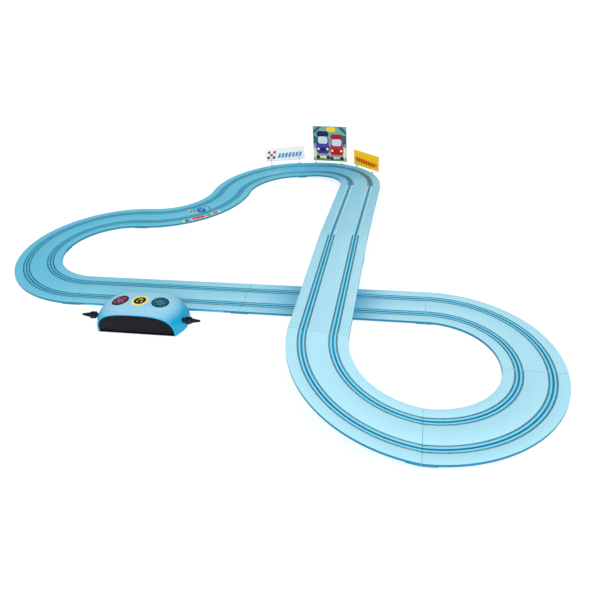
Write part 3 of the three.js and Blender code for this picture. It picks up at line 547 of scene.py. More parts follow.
def node_shape(node):
    """A copy of a CAD node's mesh, as a bmesh with its corners merged."""
    shape = bmesh.new()
    shape.from_mesh(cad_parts[node].data)
    bmesh.ops.remove_doubles(shape, verts=shape.verts, dist=0.001 * MM)
    return shape


def spun(profile, place, sides=40):
    """A solid of revolution from (along, radius) pairs; place(along, radius, angle) puts it down."""
    shape = bmesh.new()
    rings = []
    for along, radius in profile:
        rings.append([place(along, radius, 2 * math.pi * i / sides) for i in range(sides)])
    loft(shape, rings)
    return shape


# ------------------------------------------------------------------ the course


def sideways(x, y, heading, left):
    """The point a distance to the left of another, seen along a heading."""
    return x - left * math.sin(heading), y + left * math.cos(heading)


def lay_out_course():
    """Where each section starts, in which direction it runs and how long it is."""
    sections = []
    x = rail_low.x - GAP
    y = (deck_low.y + deck_high.y) / 2
    heading = start = 0.0
    for i, (name, turn, rise, bank) in enumerate(COURSE):
        _, _, next_rise, next_bank = COURSE[(i + 1) % len(COURSE)]
        length = QUARTER_TURN * RADIUS if turn else STRAIGHT
        section = dict(name=name, turn=turn, x=x, y=y, heading=heading, start=start, length=length)
        section.update(rise=(rise, next_rise), bank=(bank, next_bank))
        sections.append(section)
        if turn:
            section["centre"] = sideways(x, y, heading, turn * RADIUS)
            heading += turn * QUARTER_TURN
            x, y = sideways(*section["centre"], heading, -turn * RADIUS)
        else:
            x += length * math.cos(heading)
            y += length * math.sin(heading)
        start += length
    return sections


SECTIONS = lay_out_course()
COURSE_LENGTH = sum(section["length"] for section in SECTIONS)


def course_point(distance, across, height=0.0):
    """A point above the driving surface, at a distance along the course and across to its left."""
    distance %= COURSE_LENGTH
    section = next(s for s in reversed(SECTIONS) if s["start"] <= distance)
    along = distance - section["start"]
    fraction = along / section["length"]
    rise, bank = (low + (high - low) * fraction for low, high in (section["rise"], section["bank"]))
    z = HEIGHT + rise + bank * across + height
    if section["turn"]:
        heading = section["heading"] + section["turn"] * along / RADIUS
        left = across - section["turn"] * RADIUS
        return (*sideways(*section["centre"], heading, left), z)
    x = section["x"] + along * math.cos(section["heading"])
    y = section["y"] + along * math.sin(section["heading"])
    return (*sideways(x, y, section["heading"], across), z)


def course_loft(shape, stations):
    """A solid on the course through (distance, outline) stations; an outline is (across, height) pairs.

    It keeps each vertex's place on the course in an attribute, for the material.
    """
    layer = shape.verts.layers.float_vector.get("course") or shape.verts.layers.float_vector.new("course")
    rings = [[course_point(distance, *point) for point in outline] for distance, outline in stations]
    for row, (distance, outline) in zip(loft(shape, rings), stations):
        for vertex, (across, height) in zip(row, outline):
            vertex[layer] = (across, distance, height)


def spread(low, high, step):
    """Evenly spaced values from low to high, no further apart than a step."""
    count = max(1, math.ceil((high - low) / step))
    return [low + (high - low) * i / count for i in range(count + 1)]


def along_step(section):
    """The longest step along a section: a level straight needs only its ends."""
    is_plain = not section["turn"] and not any(section["rise"])
    return STRAIGHT if is_plain else STEP


def course_bar(shape, section, span, across, heights, chamfer):
    """A bar with chamfered edges on the course, between two distances from the section's start."""
    left, right = across
    bottom, top = heights
    c = chamfer
    outline = [
        (left + c, bottom), (right - c, bottom), (right, bottom + c), (right, top - c),
        (right - c, top), (left + c, top), (left, top - c), (left, bottom + c),
    ]
    start, end = (section["start"] + value for value in span)
    stations = [(distance, outline) for distance in spread(start, end, along_step(section))]
    course_loft(shape, stations)


# ------------------------------------------------------------------ track sections

EDGE_RADIUS = 0.9 * MM
LIP_RADIUS = 0.35 * MM
SEAM_CHAMFER = 0.3 * MM


def arc(x, y, radius, from_angle, to_angle, steps):
    """Points on an arc, in degrees."""
    angles = [math.radians(from_angle + (to_angle - from_angle) * i / steps) for i in range(steps + 1)]
    return [(x + radius * math.cos(a), y + radius * math.sin(a)) for a in angles]


def groove(middle, width, depth, lip):
    """A groove in the driving surface with rounded lips, from left to right."""
    left, right = middle - width / 2, middle + width / 2
    return [
        *arc(left - lip, -lip, lip, 90, 0, 2),
        (left, -depth),
        (right, -depth),
        *arc(right + lip, -lip, lip, 180, 90, 2),
    ]


def section_outline(skirt, lowered=0.0):
    """Cross-section of a track section, from its left foot over the deck and back underneath.

    skirt is how far its skirts reach down, and lowered takes that much off the driving surface.
    """
    half = WIDTH / 2
    inner = half - SKIRT
    groove_width = RAIL_WIDTH + 2 * GROOVE_CLEARANCE
    outline = [(-half, -skirt)]
    outline += arc(-half + EDGE_RADIUS, -EDGE_RADIUS, EDGE_RADIUS, 180, 90, 4)
    for lane in LANES:
        outline += groove(lane - RAIL_OFFSET, groove_width, GROOVE_DEPTH, 0.1 * MM)
        outline += groove(lane, SLOT_WIDTH, SLOT_DEPTH, LIP_RADIUS)
        outline += groove(lane + RAIL_OFFSET, groove_width, GROOVE_DEPTH, 0.1 * MM)
    outline += arc(half - EDGE_RADIUS, -EDGE_RADIUS, EDGE_RADIUS, 90, 0, 4)
    outline += [(half, -skirt), (inner, -skirt), (inner, -DECK)]
    channel = SLOT_WIDTH / 2 + SLOT_WALL
    for lane in reversed(LANES):
        outline += [
            (lane + channel, -DECK),
            (lane + channel, -SLOT_DEPTH - SLOT_WALL),
            (lane - channel, -SLOT_DEPTH - SLOT_WALL),
            (lane - channel, -DECK),
        ]
    outline += [(-inner, -DECK), (-inner, -skirt)]
    return [(across, min(height, -lowered)) for across, height in outline]


def section_stations(section):
    """Outlines along a section: its feet reach the table, and its seam edges are eased."""
    start = section["start"] + GAP / 2
    end = section["start"] + section["length"] - GAP / 2
    foot = section_outline(HEIGHT)
    seam = section_outline(HEIGHT, SEAM_CHAMFER)
    middle = section_outline(SKIRT_SHORT)
    foot_end = start + FOOT_LENGTH
    foot_start = end - FOOT_LENGTH
    stations = [(start, seam)]
    stations += [(d, foot) for d in spread(start + SEAM_CHAMFER, foot_end, STEP)]
    stations += [(d, middle) for d in spread(foot_end + 1 * MM, foot_start - 1 * MM, along_step(section))]
    stations += [(d, foot) for d in spread(foot_start, end - SEAM_CHAMFER, STEP)]
    stations += [(end, seam)]
    return stations


RIB_PITCH = 38 * MM
RIB_THICKNESS = 1.4 * MM
RIB_HEIGHTS = (-4.4 * MM, -DECK + 0.2 * MM)


def add_ribs(shape, section):
    """Cross ribs under the deck, between the skirts and the slot channels."""
    inner = WIDTH / 2 - SKIRT + 0.2 * MM
    channel = SLOT_WIDTH / 2 + SLOT_WALL - 0.2 * MM
    right, left = LANES
    bays = [(-inner, right - channel), (right + channel, left - channel), (left + channel, inner)]
    for place in spread(FOOT_LENGTH + 4 * MM, section["length"] - FOOT_LENGTH - 4 * MM, RIB_PITCH):
        for bay in bays:
            course_bar(shape, section, (place, place + RIB_THICKNESS), bay, RIB_HEIGHTS, 0.1 * MM)


TONGUE_OFFSET = 9 * MM
TONGUE_WIDTH = 8 * MM
TONGUE_REACH = 5.8 * MM
TONGUE_HEIGHTS = (-4.1 * MM, -2.9 * MM)
TONGUE_ROOT = 8 * MM
ROOT_MARGIN = 0.3 * MM  # the root is this much bigger than the tongue all round


def add_tongues(shape, section):
    """Two tongues under the leading end that reach below the next section's deck."""
    end = section["length"] - GAP / 2
    for middle in (-TONGUE_OFFSET, TONGUE_OFFSET):
        sides = (middle - TONGUE_WIDTH / 2, middle + TONGUE_WIDTH / 2)
        root_sides = (sides[0] - ROOT_MARGIN, sides[1] + ROOT_MARGIN)
        root_heights = (TONGUE_HEIGHTS[0] - ROOT_MARGIN, -DECK + 0.2 * MM)
        root_span = (end - TONGUE_ROOT, end - 0.2 * MM)
        tongue_span = (end - TONGUE_ROOT / 2, end + TONGUE_REACH)
        course_bar(shape, section, root_span, root_sides, root_heights, 0.2 * MM)
        course_bar(shape, section, tongue_span, sides, TONGUE_HEIGHTS, 0.3 * MM)


PIN_MARK_RADIUS = 2.2 * MM
PIN_MARK_HEIGHTS = (-0.3 * MM, 0.07 * MM)
PIN_MARK_OFFSET = 13 * MM
PIN_MARK_SHARES = (0.04, 0.26, 0.48, 0.74, 0.96)  # of the section's length


def add_pin_marks(shape, section):
    """Faint round ejector marks on the deck, towards the inside of a curve."""
    across = section["turn"] * PIN_MARK_OFFSET
    bottom, top = PIN_MARK_HEIGHTS
    for share in PIN_MARK_SHARES:
        place = section["start"] + share * section["length"]
        stations = []
        for reach, half in arc(place, 0, PIN_MARK_RADIUS, 170, 10, 10):
            right, left = across - half, across + half
            stations.append((reach, [(right, bottom), (left, bottom), (left, top), (right, top)]))
        course_loft(shape, stations)


FEED_NOTCH_HALF_WIDTH = 22 * MM
FEED_NOTCH_HEIGHT = 3.5 * MM


def add_sections():
    for section in SECTIONS:
        name = section["name"]
        shape = bmesh.new()
        course_loft(shape, section_stations(section))
        if name == "power_straight":
            shape = cut(shape, feed_notch(section))
        add_ribs(shape, section)
        add_tongues(shape, section)
        add_pin_marks(shape, section)
        add_piece(f"{name}_moulding", shape, LOOKS["track"], stands_for=[name])


def feed_notch(section):
    """The notch that lets the housing's feed strips under the near skirt."""
    middle = section["x"] + section["length"] / 2
    skirt = section["y"] - WIDTH / 2
    low = (middle - FEED_NOTCH_HALF_WIDTH, skirt - 1 * MM, -1 * MM)
    return box_shape(low, (middle + FEED_NOTCH_HALF_WIDTH, skirt + SKIRT + 1 * MM, FEED_NOTCH_HEIGHT))


def rail_outline(middle, lowered):
    """A rail's cross-section, with a crowned top."""
    half = RAIL_WIDTH / 2
    crown = [(middle + half * t, -lowered - RAIL_CROWN * t * t) for t in (1, 0.75, 0.5, 0.25, 0)]
    mirrored = [(2 * middle - across, height) for across, height in crown[-2::-1]]
    return [(middle - half, -RAIL_DEPTH), (middle + half, -RAIL_DEPTH), *crown, *mirrored]


def add_rails():
    """Four conductor rails on every section, with a small break at each seam."""
    offsets = [lane + side * RAIL_OFFSET for lane in LANES for side in (-1, 1)]
    for section in SECTIONS:
        name = section["name"]
        # the descent straight's rails carry the painted highlight
        look = LOOKS["painted_highlight_rail" if name == "descent_straight" else "rail"]
        start = section["start"] + RAIL_END
        end = section["start"] + section["length"] - RAIL_END
        for i, offset in enumerate(offsets, 1):
            flat = rail_outline(offset, RAIL_SUNK)
            dipped = rail_outline(offset, RAIL_DIP)
            body = [(d, flat) for d in spread(start + RAIL_SLOPE, end - RAIL_SLOPE, along_step(section))]
            shape = bmesh.new()
            course_loft(shape, [(start, dipped), *body, (end, dipped)])
            powered = [f"power_rail_{i}"] if name == "power_straight" else []
            add_piece(f"{name}_rail_{i}", shape, look, stands_for=powered)


# ------------------------------------------------------------------ prints: thin plates on a surface

DOME_INK = 0.06 * MM  # each ink layer lies this far above the last
THIN_INK = 0.025 * MM


def plate(shape, outline, place, low, high, rings=1):
    """A thin closed plate: the outline filled towards its middle, from one lift to another.

    place(u, v, lift) puts a point of the plate on its surface.
    """
    middle_u = sum(u for u, _ in outline) / len(outline)
    middle_v = sum(v for _, v in outline) / len(outline)

    def ring(share, lift):
        points = []
        for u, v in outline:
            inner_u, inner_v = middle_u + (u - middle_u) * share, middle_v + (v - middle_v) * share
            points.append(shape.verts.new(place(inner_u, inner_v, lift)))
        return points

    shares = [1 - i / rings for i in range(rings)]
    centres = [shape.verts.new(place(middle_u, middle_v, lift)) for lift in (low, high)]
    sheets = [[ring(share, lift) for share in shares] for lift in (low, high)]
    for rows, centre in zip(sheets, centres):
        for i in range(len(outline)):
            j = (i + 1) % len(outline)
            for row, following in zip(rows, rows[1:]):
                shape.faces.new((row[i], row[j], following[j], following[i]))
            shape.faces.new((rows[-1][i], rows[-1][j], centre))
    bottom, top = sheets[0][0], sheets[1][0]
    for i in range(len(outline)):
        j = (i + 1) % len(outline)
        shape.faces.new((bottom[i], bottom[j], top[j], top[i]))


def ribbon(shape, path, width, place, low, high):
    """A thin closed band of one width along a path of (u, v) points."""
    rings = []
    for i, (u, v) in enumerate(path):
        before, after = path[max(i - 1, 0)], path[min(i + 1, len(path) - 1)]
        run = math.hypot(after[0] - before[0], after[1] - before[1])
        du = (before[1] - after[1]) / run * width / 2
        dv = (after[0] - before[0]) / run * width / 2
        right, left = (u - du, v - dv), (u + du, v + dv)
        rings.append([place(*right, low), place(*left, low), place(*left, high), place(*right, high)])
    loft(shape, rings)


def smooth_path(points, steps=8):
    """A smooth curve through the points."""
    path = []
    ends = [points[0], *points, points[-1]]
    for a, b, c, d in zip(ends, ends[1:], ends[2:], ends[3:]):
        for i in range(steps):
            t = i / steps
            path.append(tuple(
                b[k] + 0.5 * t * (c[k] - a[k] + t * (2 * a[k] - 5 * b[k] + 4 * c[k] - d[k]
                                                     + t * (3 * (b[k] - c[k]) + d[k] - a[k])))
                for k in (0, 1)
            ))
    return [*path, points[-1]]


def disc(u, v, radius, steps=40):
    return arc(u, v, radius, 0, 360, steps)[:-1]


def rounded(u, v, width, height, radius, steps=4, lean=0.0):
    """A rectangle with rounded corners about a middle; lean slants it like italic bars."""
    x, y = width / 2 - radius, height / 2 - radius
    corners = [(x, y, 0), (-x, y, 90), (-x, -y, 180), (x, -y, 270)]
    points = [p for cx, cy, a in corners for p in arc(cx, cy, radius, a, a + 90, steps)]
    return [(u + px + lean * py, v + py) for px, py in points]


def refined(outline, step):
    """The outline with extra points, so that a long edge follows a curved surface."""
    points = []
    for (u, v), (next_u, next_v) in zip(outline, outline[1:] + outline[:1]):
        count = max(1, math.ceil(math.hypot(next_u - u, next_v - v) / step))
        points += [(u + (next_u - u) * i / count, v + (next_v - v) * i / count) for i in range(count)]
    return points


def add_print(name, layers, place, slot, body, base=0.0, ink_step=THIN_INK, rings=1, edge=None):
    """Ink layers one above the other: (colour, drawings).  base is the surface's lift.

    A drawing is an outline, or for a band a tuple of its path and its width.
    """
    for level, (colour, drawings) in enumerate(layers):
        shape = bmesh.new()
        low, high = base - ink_step, base + (level + 1) * ink_step
        for drawing in drawings:
            if isinstance(drawing, tuple):
                ribbon(shape, *drawing, place, low, high)
            else:
                plate(shape, refined(drawing, edge) if edge else drawing, place, low, high, rings)
        add_piece(f"{name}_ink_{level + 1}", shape, ink(*colour), body)


# ------------------------------------------------------------------ bridge supports


def add_softened(node, look, body="track", width=0.3 * MM, segments=2):
    """A CAD node's own shape with its edges rounded, as a piece that stands for it."""
    shape = bevelled(node_shape(node), width, segments)
    return add_piece(node + "_piece", shape, LOOKS[look], body, [node])


def add_supports():
    for node in ("ramp_support", "bridge_front_support", "bridge_back_support", "descent_support"):
        add_softened(node, "support", width=0.8 * MM, segments=3)


# ------------------------------------------------------------------ battery housing

FRONT_HALF_WIDTH = 75 * MM
FRONT_HEIGHT = 41 * MM
WIDEST_DEPTH = 37 * MM
CLOSING_DEPTH = HOUSING_BACK + 0.5 * MM  # where the back's rounding would close
WALL = 2.4 * MM
ARCH_POWER = 3
SIDE_POWER = 3.5
TOP_POWER = 5
PLUG_DEPTH = 27 * MM
PLUG_HEIGHT = 18 * MM
PLUG_HOLE_RADIUS = 4.8 * MM
PLUG_HOLE_SPAN = (70 * MM, 95 * MM)
SCREW_X = 68 * MM
SCREW_DEPTHS = (12 * MM, 61 * MM)
BOSS_RADIUS = 3.4 * MM
BOSS_FOOT = 4.3 * MM
SHELL_NOTCH_DEPTH = 12 * MM


def in_housing(x, depth, z):
    return HOUSING_X + x, HOUSING_FRONT + depth, z


def housing_size(depth):
    """Half-width and height of the housing's outside at a depth behind its front edge."""
    if depth < WIDEST_DEPTH:
        swell = math.sin(QUARTER_TURN * max(depth / WIDEST_DEPTH, 0))
        half_width = FRONT_HALF_WIDTH + (HOUSING_HALF_WIDTH - FRONT_HALF_WIDTH) * swell
        return half_width, FRONT_HEIGHT + (HOUSING_HEIGHT - FRONT_HEIGHT) * swell
    fraction = (depth - WIDEST_DEPTH) / (CLOSING_DEPTH - WIDEST_DEPTH)
    width_share = (1 - fraction**SIDE_POWER) ** (1 / SIDE_POWER)
    height_share = (1 - fraction**TOP_POWER) ** (1 / TOP_POWER)
    return HOUSING_HALF_WIDTH * width_share, HOUSING_HEIGHT * height_share


def arch(half_width, height, steps=72):
    """The housing's rounded arch from right to left, as (x, z) pairs."""
    points = []
    for i in range(steps + 1):
        angle = math.pi * i / steps
        across = math.copysign(abs(math.cos(angle)) ** (2 / ARCH_POWER), math.cos(angle))
        up = math.sin(angle) ** (2 / ARCH_POWER)
        points.append((across * half_width, up * height))
    return points


def dome_ring(depth, inset):
    """An arch of the shell's outside or, with an inset, of its inside."""
    half_width, height = housing_size(depth)
    back_off = inset * max(depth, 0) / HOUSING_BACK
    return [in_housing(x, depth - back_off, z) for x, z in arch(half_width - inset, height - inset)]


LIP_STEPS = 6
DOME_STEPS = 44


def shell_shape():
    """The dome as one wall: outside, rounded front lip and inside, closed at the back and the feet."""
    shape = bmesh.new()
    depths = [HOUSING_BACK * math.sin(QUARTER_TURN * i / DOME_STEPS) for i in range(DOME_STEPS + 1)]
    lip_depth = WALL / 2
    depths = [depth for depth in depths if depth > lip_depth]
    rings = [dome_ring(depth, 0) for depth in reversed(depths)]
    for i in range(LIP_STEPS + 1):
        turn = math.pi * i / LIP_STEPS
        rings.append(dome_ring(lip_depth * (1 - math.sin(turn)), WALL / 2 * (1 - math.cos(turn))))
    rings += [dome_ring(depth, WALL) for depth in depths]
    rows = [[shape.verts.new(point) for point in ring] for ring in rings]
    for row, following in zip(rows, rows[1:]):
        for i in range(len(row) - 1):
            shape.faces.new((row[i], row[i + 1], following[i + 1], following[i]))
    # the foot edge on each side runs down the outside, round the lip and back along the inside
    shape.faces.new(rows[0])
    shape.faces.new(rows[-1])
    count = len(depths)
    for column in (0, -1):
        outside = [row[column] for row in rows[:count]][::-1]
        lip = [row[column] for row in rows[count:-count]]
        inside = [row[column] for row in rows[-count:]]
        shape.faces.new([outside[0], *lip, inside[0]])
        for i in range(count - 1):
            shape.faces.new((outside[i], outside[i + 1], inside[i + 1], inside[i]))
    shape.faces.new((rows[0][0], rows[0][-1], rows[-1][-1], rows[-1][0]))
    return shape


def add_shell():
    """The blue dome with its screw bosses, its two plug holes and the notch for the feed strips."""
    plug_holes = []
    for side in (-1, 1):
        start, end = (in_housing(side * x, PLUG_DEPTH, PLUG_HEIGHT) for x in PLUG_HOLE_SPAN)
        plug_holes.append(rod_shape(start, end, PLUG_HOLE_RADIUS, 40))
    notch_low = in_housing(-FEED_NOTCH_HALF_WIDTH, HOUSING_BACK - SHELL_NOTCH_DEPTH, -1 * MM)
    notch_high = in_housing(FEED_NOTCH_HALF_WIDTH, HOUSING_BACK + 1 * MM, FEED_NOTCH_HEIGHT + 1 * MM)
    bosses = []
    for x in (-SCREW_X, SCREW_X):
        for depth in SCREW_DEPTHS:
            foot, top = in_housing(x, depth, BOSS_FOOT), in_housing(x, depth, boss_top(x, depth))
            bosses.append(rod_shape(foot, top, BOSS_RADIUS, 24))
    shape = joined(shell_shape(), *bosses)
    shape = cut(shape, *plug_holes, box_shape(notch_low, notch_high))
    name = "housing_shell"
    add_piece(f"{name}_moulding", shape, LOOKS["housing"], stands_for=[name])


def dome_height(x, depth):
    """Height of the housing's outside at a place in plan."""
    half_width, height = housing_size(depth)
    share = min(abs(x) / half_width, 1)
    return height * (1 - share**ARCH_POWER) ** (1 / ARCH_POWER)


def boss_top(x, depth):
    """Where a screw boss ends inside the shell's wall."""
    return dome_height(abs(x) + BOSS_RADIUS, depth) - 0.6 * MM


STICKER_RADIUS = 16 * MM
STICKER_DEPTH = 41 * MM
STICKER_LIFT = 0.12 * MM


def on_dome(x, depth, lift):
    """A point above the housing's outside, lifted along z."""
    return in_housing(x, depth, dome_height(x, depth) + lift)


def ring_bands(u, v, radius, width, count=1, share=0.99):
    """Bands of a ring: count of them, each filling a share of its part of the circle."""
    bands = []
    for i in range(count):
        start = 360 * i / count + 90
        bands.append((arc(u, v, radius, start, start + 360 / count * share, 40), width))
    return bands


def add_stickers():
    """Three round stickers on the housing with plain racing signs of the builder's own."""
    r = STICKER_RADIUS
    d = STICKER_DEPTH
    left, middle, right = -40 * MM, -1 * MM, 38 * MM

    def bar(centre, x, y, width, height, lean=0.0):
        corner = min(width, height) * 0.25 * r
        return rounded(centre + x * r, d + y * r, width * r, height * r, corner, 3, lean)

    squares = [(-0.3, 0.26), (0, 0.06), (0.3, 0.26), (-0.3, -0.14), (0.3, -0.14), (0, -0.34)]
    flag = [bar(left, x, y, 0.26, 0.2, 0.2) for x, y in squares]
    spokes = [bar(middle, 0, 0.06, 0.98, 0.26), bar(middle, 0, -0.24, 0.32, 0.5)]
    speed_lines = [(0.02, 0.36, 0.7), (-0.04, 0.1, 1.15), (0.06, -0.16, 1.05), (0, -0.42, 0.6)]
    lines = [bar(right, x, y, width, 0.13) for x, y, width in speed_lines]
    stickers = {
        "left_sticker": [
            ((20, 6, 12), [disc(left, d, r)]),
            ((72, 2, 16), [disc(left, d, 0.86 * r)]),
            ((204, 122, 150), flag + ring_bands(left, d, 0.68 * r, 0.06 * r, 4, 0.8)),
        ],
        "middle_sticker": [
            ((236, 236, 196), [disc(middle, d, r)]),
            ((240, 214, 60), [disc(middle, d, 0.9 * r)]),
            ((12, 10, 12), spokes + ring_bands(middle, d, 0.56 * r, 0.28 * r)),
        ],
        "right_sticker": [
            ((2, 44, 62), [disc(right, d, r)]),
            ((2, 66, 84), [disc(right, d, 0.88 * r)]),
            ((72, 142, 158), lines + ring_bands(right, d, 0.72 * r, 0.05 * r, 2, 0.9)),
        ],
    }
    for name, layers in stickers.items():
        lifts = (STICKER_LIFT, DOME_INK)
        add_print(name, layers, on_dome, "white_card", "track", *lifts, rings=5, edge=2 * MM)


# Battery door
DOOR_FACE = 1.5 * MM
DOOR_THICKNESS = 2.5 * MM
DOOR_BOTTOM = 3.4 * MM
HINGE_DEPTH = 3.2 * MM
HINGE_HEIGHT = 4.6 * MM
BARREL_RADIUS = 1.9 * MM
HINGE_PIN_RADIUS = 1.3 * MM
EAR_X = 58.5 * MM
EAR_HALF = 2 * MM  # half of an ear's thickness and its clearance
STUB_END = 66 * MM
SLIT_X = 8.1 * MM
SLIT_HALF_WIDTH = 0.6 * MM
SLIT_FOOT = 29 * MM
EAR_NOTCH_DEPTH = 8 * MM
EAR_NOTCH_TOP = 4.5 * MM  # above the hinge
RIDGE_RADIUS = 6 * MM


def add_door():
    """The arched front door: bevelled plate, snap tab with its thumb ridge, hinge barrels and pins."""
    door_low, door_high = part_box("battery_door")
    half_width = (door_high.x - door_low.x) / 2
    points = [(x, max(z, DOOR_BOTTOM)) for x, z in arch(half_width, door_high.z)]
    outline = points[1:-1]
    shape = bmesh.new()
    front, back = DOOR_FACE, DOOR_FACE + DOOR_THICKNESS
    loft(shape, [[in_housing(x, depth, z) for x, z in outline] for depth in (front, back)])
    shape = bevelled(shape, 0.5 * MM, 3, math.radians(60))
    openings = []
    for side in (-1, 1):
        for middle, half, foot, depth, top in (
            (SLIT_X, SLIT_HALF_WIDTH, SLIT_FOOT, 6 * MM, HOUSING_HEIGHT),
            (EAR_X, EAR_HALF, 0, EAR_NOTCH_DEPTH, HINGE_HEIGHT + EAR_NOTCH_TOP),
        ):
            low = in_housing(side * middle - half, -1 * MM, foot)
            openings.append(box_shape(low, in_housing(side * middle + half, depth, top)))
    shape = cut(shape, *openings)

    def hinge_rod(start, end, radius):
        low, high = (in_housing(x, HINGE_DEPTH, HINGE_HEIGHT) for x in (start, end))
        return rod_shape(low, high, radius)

    inner, outer = EAR_X - EAR_HALF, EAR_X + EAR_HALF
    rods = [hinge_rod(-inner, inner, BARREL_RADIUS)]
    for side in (-1, 1):
        rods.append(hinge_rod(side * outer, side * STUB_END, BARREL_RADIUS))
        rods.append(hinge_rod(side * (inner - 1 * MM), side * (outer + 1 * MM), HINGE_PIN_RADIUS))
    shape = joined(shape, *rods)
    node = "battery_door"
    add_piece(f"{node}_moulding", shape, LOOKS["black"], node, [node])
    add_thumb_ridge()


def add_thumb_ridge():
    """The arched ridge on the door's snap tab that a thumb presses."""
    path = [(x, z) for x, z in arc(0, SLIT_FOOT + 1 * MM, RIDGE_RADIUS, 25, 155, 16)]
    shape = bmesh.new()
    tube(shape, [in_housing(x, DOOR_FACE, z) for x, z in path], 0.85 * MM, 12)
    add_piece("battery_door_thumb_ridge", shape, LOOKS["black"], "battery_door")


def tube(shape, points, radius, sides):
    """A round tube through points, closed at both ends."""
    path = [Vector(p) for p in points]
    rings = []
    normal = None
    for i, point in enumerate(path):
        ahead = path[min(i + 1, len(path) - 1)] - path[max(i - 1, 0)]
        ahead.normalize()
        normal = (normal or ahead.orthogonal()) - ahead * (normal or ahead.orthogonal()).dot(ahead)
        normal.normalize()
        side = ahead.cross(normal)
        turns = [2 * math.pi * k / sides for k in range(sides)]
        rings.append([point + radius * (math.cos(a) * normal + math.sin(a) * side) for a in turns])
    loft(shape, rings)


# Plugs, in mm.  A station is (distance from the housing's middle, half-depth, half-height, squareness).
PLUG_NECK = [(75.8, 4, 4, 2), (86.4, 4, 4, 2), (86.6, 5, 4.6, 3), (87.4, 5.8, 5.2, 4), (88.6, 6, 5.4, 5)]
PLUG_SHOULDER = [(98.2, 5.7, 5.2, 4), (99.2, 4.6, 4.5, 2.4), (99.8, 4.4, 4.4, 2)]
GRIP_GROOVE = [(0, 6, 5.4), (0.2, 5.5, 4.9), (1.1, 5.5, 4.9), (1.3, 6, 5.4)]  # from where it starts
GRIP_GROOVE_STARTS = (89.8, 92.3, 94.8)
SLEEVE_START = 100.4
SLEEVE_END = 115
SLEEVE_RINGS = 4
SLEEVE_RADII = (4.3, 2.4)  # of the first ring and of the last
SLEEVE_RING = [(0, 0.72), (0.12, 0.94), (0.2, 1), (0.62, 0.97), (0.72, 0.9), (0.78, 0.72)]  # shares
SLEEVE_TIP = 0.85


def plug_stations():
    """A square grip with grooves round it, then a tapering sleeve of rings with gaps between them."""
    stations = list(PLUG_NECK)
    for start in GRIP_GROOVE_STARTS:
        stations += [(start + reach, *halves, 5) for reach, *halves in GRIP_GROOVE]
    stations += PLUG_SHOULDER
    pitch = (SLEEVE_END - SLEEVE_START) / SLEEVE_RINGS
    first, last = SLEEVE_RADII
    for i in range(SLEEVE_RINGS):
        start = SLEEVE_START + i * pitch
        radius = first + (last - first) * i / (SLEEVE_RINGS - 1)
        stations += [(start + share * pitch, radius * size, radius * size, 2) for share, size in SLEEVE_RING]
    tip = stations[-1][1] * SLEEVE_TIP
    return [*stations, (SLEEVE_END, tip, tip, 2)]


def axis_of(node):
    """The y and z of the axis of a round CAD node that lies along x, and its ends and radius."""
    low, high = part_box(node)
    return (low.y + high.y) / 2, (low.z + high.z) / 2, low.x, high.x, (high.z - low.z) / 2


def squared_ring(half_width, half_height, power, steps=40):
    """A ring between a circle (power 2) and a rounded rectangle (power 5)."""
    points = []
    for i in range(steps):
        angle = 2 * math.pi * i / steps
        across, up = math.cos(angle), math.sin(angle)
        points.append((
            math.copysign(abs(across) ** (2 / power), across) * half_width,
            math.copysign(abs(up) ** (2 / power), up) * half_height,
        ))
    return points


def add_plugs():
    for name, side in (("left", -1), ("right", 1)):
        shape = bmesh.new()
        rings = []
        for reach, half_depth, half_height, power in plug_stations():
            ring = squared_ring(half_depth * MM, half_height * MM, power)
            rings.append([in_housing(side * reach * MM, PLUG_DEPTH + y, PLUG_HEIGHT + z) for y, z in ring])
        loft(shape, rings)
        body = f"plug_{name}"
        add_piece(f"plug_{name}_grip", shape, LOOKS["rubber"], body, [f"plug_grip_{name}"])
        add_plug_pin(name, side)
        add_softened(f"plug_socket_{name}", "black")


PIN_PROFILE = [  # from the tip: share of its length, share of its radius
    (0, 0.45), (0.1, 0.8), (0.22, 1), (0.34, 0.8), (0.4, 1), (0.6, 1), (0.64, 0.86), (0.68, 1), (1, 1),
]


def add_plug_pin(name, side):
    """The round metal pin of a plug, with a groove and a rounded tip."""
    y, z, low, high, radius = axis_of(f"plug_pin_{name}")
    tip = low if side > 0 else high

    def place(along, size, angle):
        across, up = size * radius * math.cos(angle), size * radius * math.sin(angle)
        return tip + side * along * (high - low), y + across, z + up

    shape = spun(PIN_PROFILE, place, 32)
    add_piece(f"plug_{name}_pin", shape, LOOKS["brass"], f"plug_{name}", [f"plug_pin_{name}"])


CELL_NUB = 1.8 * MM
CELL_NUB_RADII = (3.6 * MM, 3.2 * MM, 3.0 * MM, 2.6 * MM)  # from its root to its tip
CELL_ROLL = 0.9 * MM  # how far its sleeve is rolled in at both ends
CELL_BASE_RADIUS = 10.5 * MM


